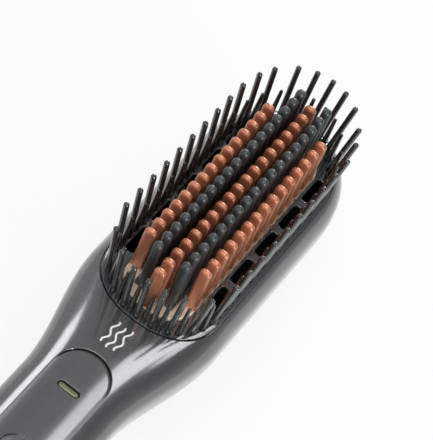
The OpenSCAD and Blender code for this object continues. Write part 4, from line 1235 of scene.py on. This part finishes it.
@dataclass
class Brush:
    """Brush plate with its ring of pins."""

    palette: Palette
    play: float = 0.45
    edge: float = 0.15
    under_z: float = 30.0
    foot_z: float = 30.4
    slot_x: float = 74.0
    slot_pitch: float = 13.8
    slot_y: float = 15.3
    slot_size: Triple = (10.6, 3.2, 1.2)
    slot_edge: float = 0.35
    hot_edge: Pair = (0.25, 0.3)
    boss_x: Pair = (80.9, 122.3)
    boss_radius: float = 1.6
    ring_growth: Pair = (-1.2, -3.75)
    middle_x: float = 100.5
    side_pitch: float = 6.9
    heel_pitch: float = 5.2
    tip_pitch: float = 4.8
    leans: Pair = (5.0, 7.0)
    pin_radius: float = 1.0
    pin_foot: float = 2.7
    hole_radius: float = 1.1
    long_pin: float = 24.0
    long_tip: float = 0.95
    short_pin: float = 14.5
    short_tip: float = 0.6

    def places(self) -> Array:
        """Lists every pin as x, y, direction, lean and height.

        Returns:
            One row for each pin, angles in radians.
        """
        ring, heel, tip = PIN_RING, self.heel_pitch, self.tip_pitch
        side = self.middle_x + (np.arange(11) - 5) * self.side_pitch
        heel_y, tip_y = heel * np.arange(1, 4), tip * np.arange(1, 4)
        long_x = np.concatenate([side, ring.end_at(heel_y, 0), ring.end_at(tip_y, 1)])
        long_y = np.concatenate([ring.width_at(side), heel_y, tip_y])
        corner = [(side[0] + ring.end_at(heel_y[-1], 0)) / 2,
                  (side[-1] + ring.end_at(tip_y[-1], 1)) / 2]
        heel_y, tip_y = heel_y - heel / 2, tip_y - tip / 2
        upright_x = np.concatenate([side[:-1] + self.side_pitch / 2, corner])
        short_x = np.concatenate([upright_x, ring.end_at(heel_y, 0), ring.end_at(tip_y, 1)])
        short_y = np.concatenate([ring.width_at(upright_x), heel_y, tip_y])
        a, zero = ring.outward(long_x, long_y), 0 * short_x
        lean = np.radians(mix(*self.leans, np.abs(np.cos(a))))
        rows = np.concatenate([
            np.stack([long_x, long_y, a, lean, np.full_like(a, self.long_pin)], -1),
            np.stack([short_x, short_y, zero, zero, zero + self.short_pin], -1)])
        ends = [[ring.end_at(0.0, end), 0, turn, np.radians(self.leans[1]), self.long_pin]
                for end, turn in ((0, np.pi), (1, 0))]
        return np.concatenate([ends, rows, rows * [1, -1, -1, 1, 1]])

    def turned_pins(self, rows: Array, profile: Sequence[Any], sides: int) -> Shape:
        """Turns a profile about the axis of each pin, from the deck's height up.

        Args:
            rows: The pins, as places() lists them.
            profile: Pairs of radius and length along the axis.
            sides: Faces round each.

        Returns:
            The closed solids, as one shape.
        """
        turn, lean = rows[:, 2], rows[:, 3]
        way = np.stack([np.cos(turn), np.sin(turn), 0 * turn], -1)
        sine, cosine = np.sin(lean)[:, None], np.cos(lean)[:, None]
        base = np.column_stack([rows[:, :2], np.full(len(rows), DECK_Z)])
        return lathe(np.array(profile), base, cosine * way - sine * UP, sine * way + cosine * UP,
                     sides)

    def plate(self) -> None:
        """Builds the plate with its air slots, pin holes and opening for the heating plate."""
        blank = Blank("brush_plate", FORM.half(True))
        blank.carve([SEAM.plug(PLATE_Z, self.edge, -self.play)], Join.KEEP)
        sides = (-self.slot_y, self.slot_y)
        slots = [Pad(self.slot_x + i * self.slot_pitch, y, *self.slot_size)
                 for i in range(5) for y in sides]
        blank.carve([s.opening(self.under_z, self.slot_edge, 0.0, DECK_Z) for s in slots])
        blank.carve([HOT.opening(self.under_z, *self.hot_edge, DECK_Z)])
        hole = [[self.hole_radius, -3.2], [self.hole_radius, 1.0]]
        blank.carve([self.turned_pins(self.places(), hole, 24)])
        blank.add([Pad.disc(x, y, self.boss_radius).solid(self.foot_z, PLATE_Z + 0.2)
                   for x in self.boss_x for y in sides])
        blank.finish(self.palette, "gloss_black")

    def pins(self) -> None:
        """Builds the pins, slimmer towards their round tips, and the ring that they grow from."""
        rows, root = self.places(), self.pin_radius
        shapes = []
        for height, tip in ((self.long_pin, self.long_tip), (self.short_pin, self.short_tip)):
            some = rows[rows[:, 4] == height]
            end = height / np.cos(float(some[:, 3].min())) - tip
            profile = [(root, -self.pin_foot), (root, 0.0), (mix(root, tip, 0.12), 2.0),
                       (mix(root, tip, 0.55), end * 0.55)]
            profile += [(tip * np.cos(a), end + tip * np.sin(a))
                        for a in np.linspace(0, np.pi / 2, 8)[:-1]]
            shapes.append(self.turned_pins(some, profile + [(0.04, end + tip)], 20))
        out, inward = self.ring_growth
        corners = ((out, self.foot_z), (out, PLATE_Z), (inward, PLATE_Z), (inward, self.foot_z))
        blank = Blank("pin_frame", Shape.joined(shapes))
        blank.add([self.band(np.stack([SEAM.ring(*corner) for corner in corners]))])
        blank.finish(self.palette, "gloss_black", look="pins")

    @staticmethod
    def band(lines: Array) -> Shape:
        """Closes four lines round the ring into a band of square section.

        Args:
            lines: The lines, each counter-clockwise from above; (4, points, 3).

        Returns:
            The closed band.
        """
        rows, n = lines.shape[:2]
        j, i = np.meshgrid(np.arange(rows), np.arange(n), indexing="ij")
        k, m = (i + 1) % n, (j + 1) % rows
        faces = np.stack([j * n + i, j * n + k, m * n + k, m * n + i], -1).reshape(-1, 4)
        return Shape(lines.reshape(-1, 3), [(faces, Kind.FLAT)])

    def build(self) -> None:
        """Builds the plate and the pins."""
        self.plate()
        self.pins()


@dataclass
class Combs:
    """Heating plate with its three copper combs and two cool combs."""

    palette: Palette
    middle_x: float = 98.4
    pitch: float = 4.6
    row: float = 5.1
    hot_z: float = 35.0
    flange: Triple = (0.9, 30.4, 31.8)
    plate_edge: float = 0.4
    bar: float = 1.6
    bar_width: float = 4.4
    bar_corner: float = 0.5
    bar_edge: float = 0.3
    tooth: float = 19.2
    tooth_power: float = 3.2
    cap: Pair = (1.9, 1.3)
    cap_power: float = 2.2
    half_width: Pair = (2.2, 2.02)
    half_length: Pair = (1.6, 1.15)
    cool_tooth: float = 23.0
    cool_radius: float = 1.65

    def plate(self) -> None:
        """Builds the heating plate, with a rounded top edge and a flange under the brush plate."""
        out, foot, top = self.flange
        square = [(out, foot), (out, top), (0.0, top)]
        shape = HOT.stack(square + rounded(0.0, self.hot_z, self.plate_edge, self.plate_edge))
        faces, kind = shape.groups[0]
        flat = (len(square) - 1) * len(HOT.line(0.0))
        shape.groups[0] = faces[flat:], kind
        shape.groups.append((faces[:flat], Kind.FLAT))
        Blank("heating_plate", shape).finish(self.palette, "champagne_metal")

    def capped(self, levels: Array, ends: Pair, cap: float) -> Array:
        """Works out half a copper tooth's size, which shrinks evenly and then into its cap.

        Args:
            levels: Heights above the heating plate.
            ends: Sizes at the foot and at the tip.
            cap: Height of the cap.

        Returns:
            The even size times (1 - u^p)^(1/p), where u is the share of the cap's height.
        """
        u = np.clip((levels - (self.tooth - cap)) / cap, 0, 1)
        even = mix(*ends, levels / self.tooth)
        return even * (1 - u ** self.cap_power) ** (1 / self.cap_power)

    def row_of(self, first: float, count: int, y: float, levels: Array, length: Array,
               width: Array, power: float, sides: int) -> Shape:
        """Builds a row of teeth.

        A tooth's section at a level is x = length cos^(2/p) a, y = width sin^(2/p) a.

        Args:
            first: Place of the first tooth, in pitches from the middle.
            count: How many teeth there are.
            y: The row's place across the head.
            levels: Heights above the heating plate.
            length: Half thickness along the head at each height.
            width: Half width across the head at each height.
            power: The section's power p; 2 is an ellipse.
            sides: Points round a section.

        Returns:
            The closed teeth.
        """
        a = np.linspace(0, 2 * np.pi, sides, endpoint=False)
        x = length[:, None] * signed_power(np.cos(a), 2 / power)
        across = width[:, None] * signed_power(np.sin(a), 2 / power)
        one = np.stack([x, across + y, np.broadcast_to(levels[:, None], x.shape) + self.hot_z], -1)
        place = self.middle_x + (first + np.arange(count)) * self.pitch
        offset = np.stack([place, 0 * place, 0 * place], -1)
        return many_stacks(one[None] + offset[:, None, None])

    def comb(self, name: str, y: float, first: float, count: int) -> None:
        """Builds one comb: a bar with rounded edges and its row of teeth.

        Args:
            name: The comb's name, which begins with its kind.
            y: The row's place across the head.
            first: Place of the first tooth, in pitches from the middle.
            count: How many teeth there are.
        """
        rise = np.sin(np.linspace(0, np.pi / 2, 12)[1:])
        if name.startswith("copper"):
            slot, cap, top = "copper_metal", self.cap[0], self.tooth
            levels = np.array([0.0, 4.0, 8.0, 12.0, 15.0, 16.6])
        else:
            slot, cap, top = "cool_plastic", self.cool_radius, self.cool_tooth
            levels = np.array([0.0, 5.0, 10.0, 15.0, 19.0, top - cap - 0.6])
        levels = np.concatenate([levels, top - cap + cap * rise])
        levels[-1] = top - TINY
        if slot == "copper_metal":
            length = self.capped(levels, self.half_length, self.cap[1])
            width = self.capped(levels, self.half_width, cap)
            teeth = self.row_of(first, count, y, levels, length, width, self.tooth_power, 36)
        else:
            over = np.clip(levels - (top - cap), 0, None)
            radius = np.sqrt(np.clip(cap ** 2 - over ** 2, 0, None))
            teeth = self.row_of(first, count, y, levels, radius, radius, 2.0, 28)
        middle = self.middle_x + (first + (count - 1) / 2) * self.pitch
        length = (count - 1) * self.pitch + 2 * self.half_length[0]
        bar = Pad(middle, y, length, self.bar_width, self.bar_corner, 6)
        shapes = [teeth, bar.solid(self.hot_z, self.hot_z + self.bar, 0, self.bar_edge)]
        Blank(name, Shape.joined(shapes)).finish(self.palette, slot)

    def build(self) -> None:
        """Builds the heating plate and the five combs."""
        self.plate()
        self.comb("copper_comb_middle", 0.0, -9, 19)
        for kind, rows, first, count in (("copper", 2, -7, 15), ("cool", 1, -8, 18)):
            self.comb(f"{kind}_comb_left", rows * self.row, first, count)
            self.comb(f"{kind}_comb_right", -rows * self.row, first, count)


@dataclass
class Studio:
    """Pale floor, soft lights and the camera at the photograph's angle."""

    focal_px: float = 1927.0
    frame_px: float = 440.0
    sensor_mm: float = 36.0
    place_mm: Triple = (-246.5, -83.4, 518.4)
    right: Triple = (0.555, -0.792, 0.255)
    down: Triple = (-0.603, -0.594, -0.532)
    forward: Triple = (0.573, 0.142, -0.807)
    aim: Triple = (0.05, 0.0, 0.02)
    white: Color = (0.97, 0.97, 0.97, 1)
    paper: Color = (0.9, 0.9, 0.9, 1)
    sky: Color = (0.99, 0.99, 1, 1)
    glow_share: float = 0.88
    floor_half: float = 3.0
    floor_z: float = -0.0005

    def camera(self) -> None:
        """Places the camera."""
        data = bpy.data.cameras.new("camera")
        data.sensor_width = self.sensor_mm
        data.lens = self.focal_px * self.sensor_mm / self.frame_px
        data.clip_start, data.clip_end = 0.01, 20.0
        camera = put("camera", data)
        turn = np.array([self.right, [-v for v in self.down], [-v for v in self.forward]])
        u, _, vt = np.linalg.svd(turn)
        matrix = Matrix((u @ vt).T.tolist()).to_4x4()
        matrix.translation = Vector(self.place_mm) * MM
        camera.matrix_world = matrix
        bpy.context.scene.camera = camera

    def lamp(self, name: str, direction: Triple, distance: float,
             size: Pair, power: float, turn: float = 0.0) -> None:
        """Hangs a soft box that faces the head.

        Args:
            name: The lamp's name.
            direction: Where it hangs, seen from the object.
            distance: How far away, in metres.
            size: Its width and height, in metres.
            power: Its power, in watts.
            turn: How far it is turned about the way it shines, in degrees.
        """
        data = bpy.data.lights.new(name, "AREA")
        data.shape = "RECTANGLE"
        data.size, data.size_y = size
        data.energy = power
        lamp = put(name, data)
        way = Vector(direction).normalized()
        lamp.location = way * distance + Vector(self.aim)
        turned_by = Matrix.Rotation(np.radians(turn), 3, "Z")
        lamp.rotation_euler = (way.to_track_quat("Z", "Y").to_matrix() @ turned_by).to_euler()

    @staticmethod
    def graph(owner: Any) -> Graph:
        """Returns the empty node graph of a material or a world.

        Args:
            owner: The material or the world.

        Returns:
            Its graph.
        """
        owner.use_nodes = True
        owner.node_tree.nodes.clear()
        return Graph(owner.node_tree)

    def floor(self) -> None:
        """Lays a white floor: nearly all glow where it is seen or mirrored, else plain diffuse."""
        mesh = bpy.data.meshes.new("floor")
        s, z = self.floor_half, self.floor_z
        mesh.from_pydata([(-s, -s, z), (s, -s, z), (s, s, z), (-s, s, z)], [], [(0, 1, 2, 3)])
        material = bpy.data.materials.new("pale floor")
        graph = self.graph(material)
        path = graph.add("LightPath")
        mirrored = graph.math("ADD", path["Is Camera Ray"], path["Is Glossy Ray"])
        seen = graph.math("ADD", mirrored, path["Is Transmission Ray"], clamp=True)
        share = graph.math("MULTIPLY", seen, self.glow_share)
        pale = graph.add("BsdfDiffuse", {"Color": self.paper})[0]
        glow = graph.add("Emission", {"Color": self.white})[0]
        graph.choose(share, pale, glow, "OutputMaterial")
        mesh.materials.append(material)
        put("floor", mesh)

    def world(self) -> None:
        """Makes the light all round: white to the camera, and elsewhere brighter low down.

        With y and z between 0 and 1, its strength is 0.385 + 0.3 y, and 0.22 (1 - y) more from
        the ground, which fades to nothing at z = 0.67.
        """
        world = bpy.data.worlds.new("studio")
        graph = self.graph(world)
        place = graph.add("TexCoord")["Generated"]
        _, y, z = graph.add("SeparateXYZ", {0: place})
        low = graph.span(z, (0.0, 0.67), (1.0, 0.0), interpolation_type="SMOOTHSTEP")
        level = graph.math("MULTIPLY_ADD", y, 0.3, 0.385)
        side = graph.math("MULTIPLY_ADD", y, -0.22, 0.22)
        strength = graph.math("MULTIPLY_ADD", low, side, level)
        dim = graph.add("Background", {"Color": self.sky, "Strength": strength})[0]
        white = graph.add("Background", {"Color": self.white})[0]
        graph.choose(graph.add("LightPath")["Is Camera Ray"], dim, white, "OutputWorld")
        bpy.context.scene.world = world

    def build(self) -> None:
        """Builds the floor, the world and the lamps."""
        self.floor()
        self.world()
        bpy.context.scene.view_settings.view_transform = "Standard"
        self.lamp("left box", (0.43, 0.69, 0.582), 1.2, (0.18, 0.36), 1.12)
        self.lamp("right box", (0.36, -0.203, 0.911), 1.2, (0.467, 0.42), 2.7, 28.6)
        self.lamp("right foot", (0.24, -0.455, 0.857), 1.2, (0.15, 0.2), 0.42, 12.0)
        self.lamp("top box", (-0.4, 0.05, 0.9), 1.3, (0.8, 0.6), 4.5)
        self.lamp("side box", (-0.45, -0.85, 0.35), 1.2, (0.3, 0.5), 9.0)
        self.lamp("front box", (0.93, 0.14, 0.33), 1.2, (0.5, 0.2), 5.0)


def main() -> None:
    """Builds the scene piece by piece."""
    logging.basicConfig(level=logging.INFO, format="%(message)s")
    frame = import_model()
    studio = Studio()
    studio.camera()
    palette = Palette()
    for assembly in (Housing(palette), Controls(palette), Brush(palette), Combs(palette)):
        assembly.build()
    palette.dress(frame)
    studio.build()


if __name__ == "__main__":
    main()
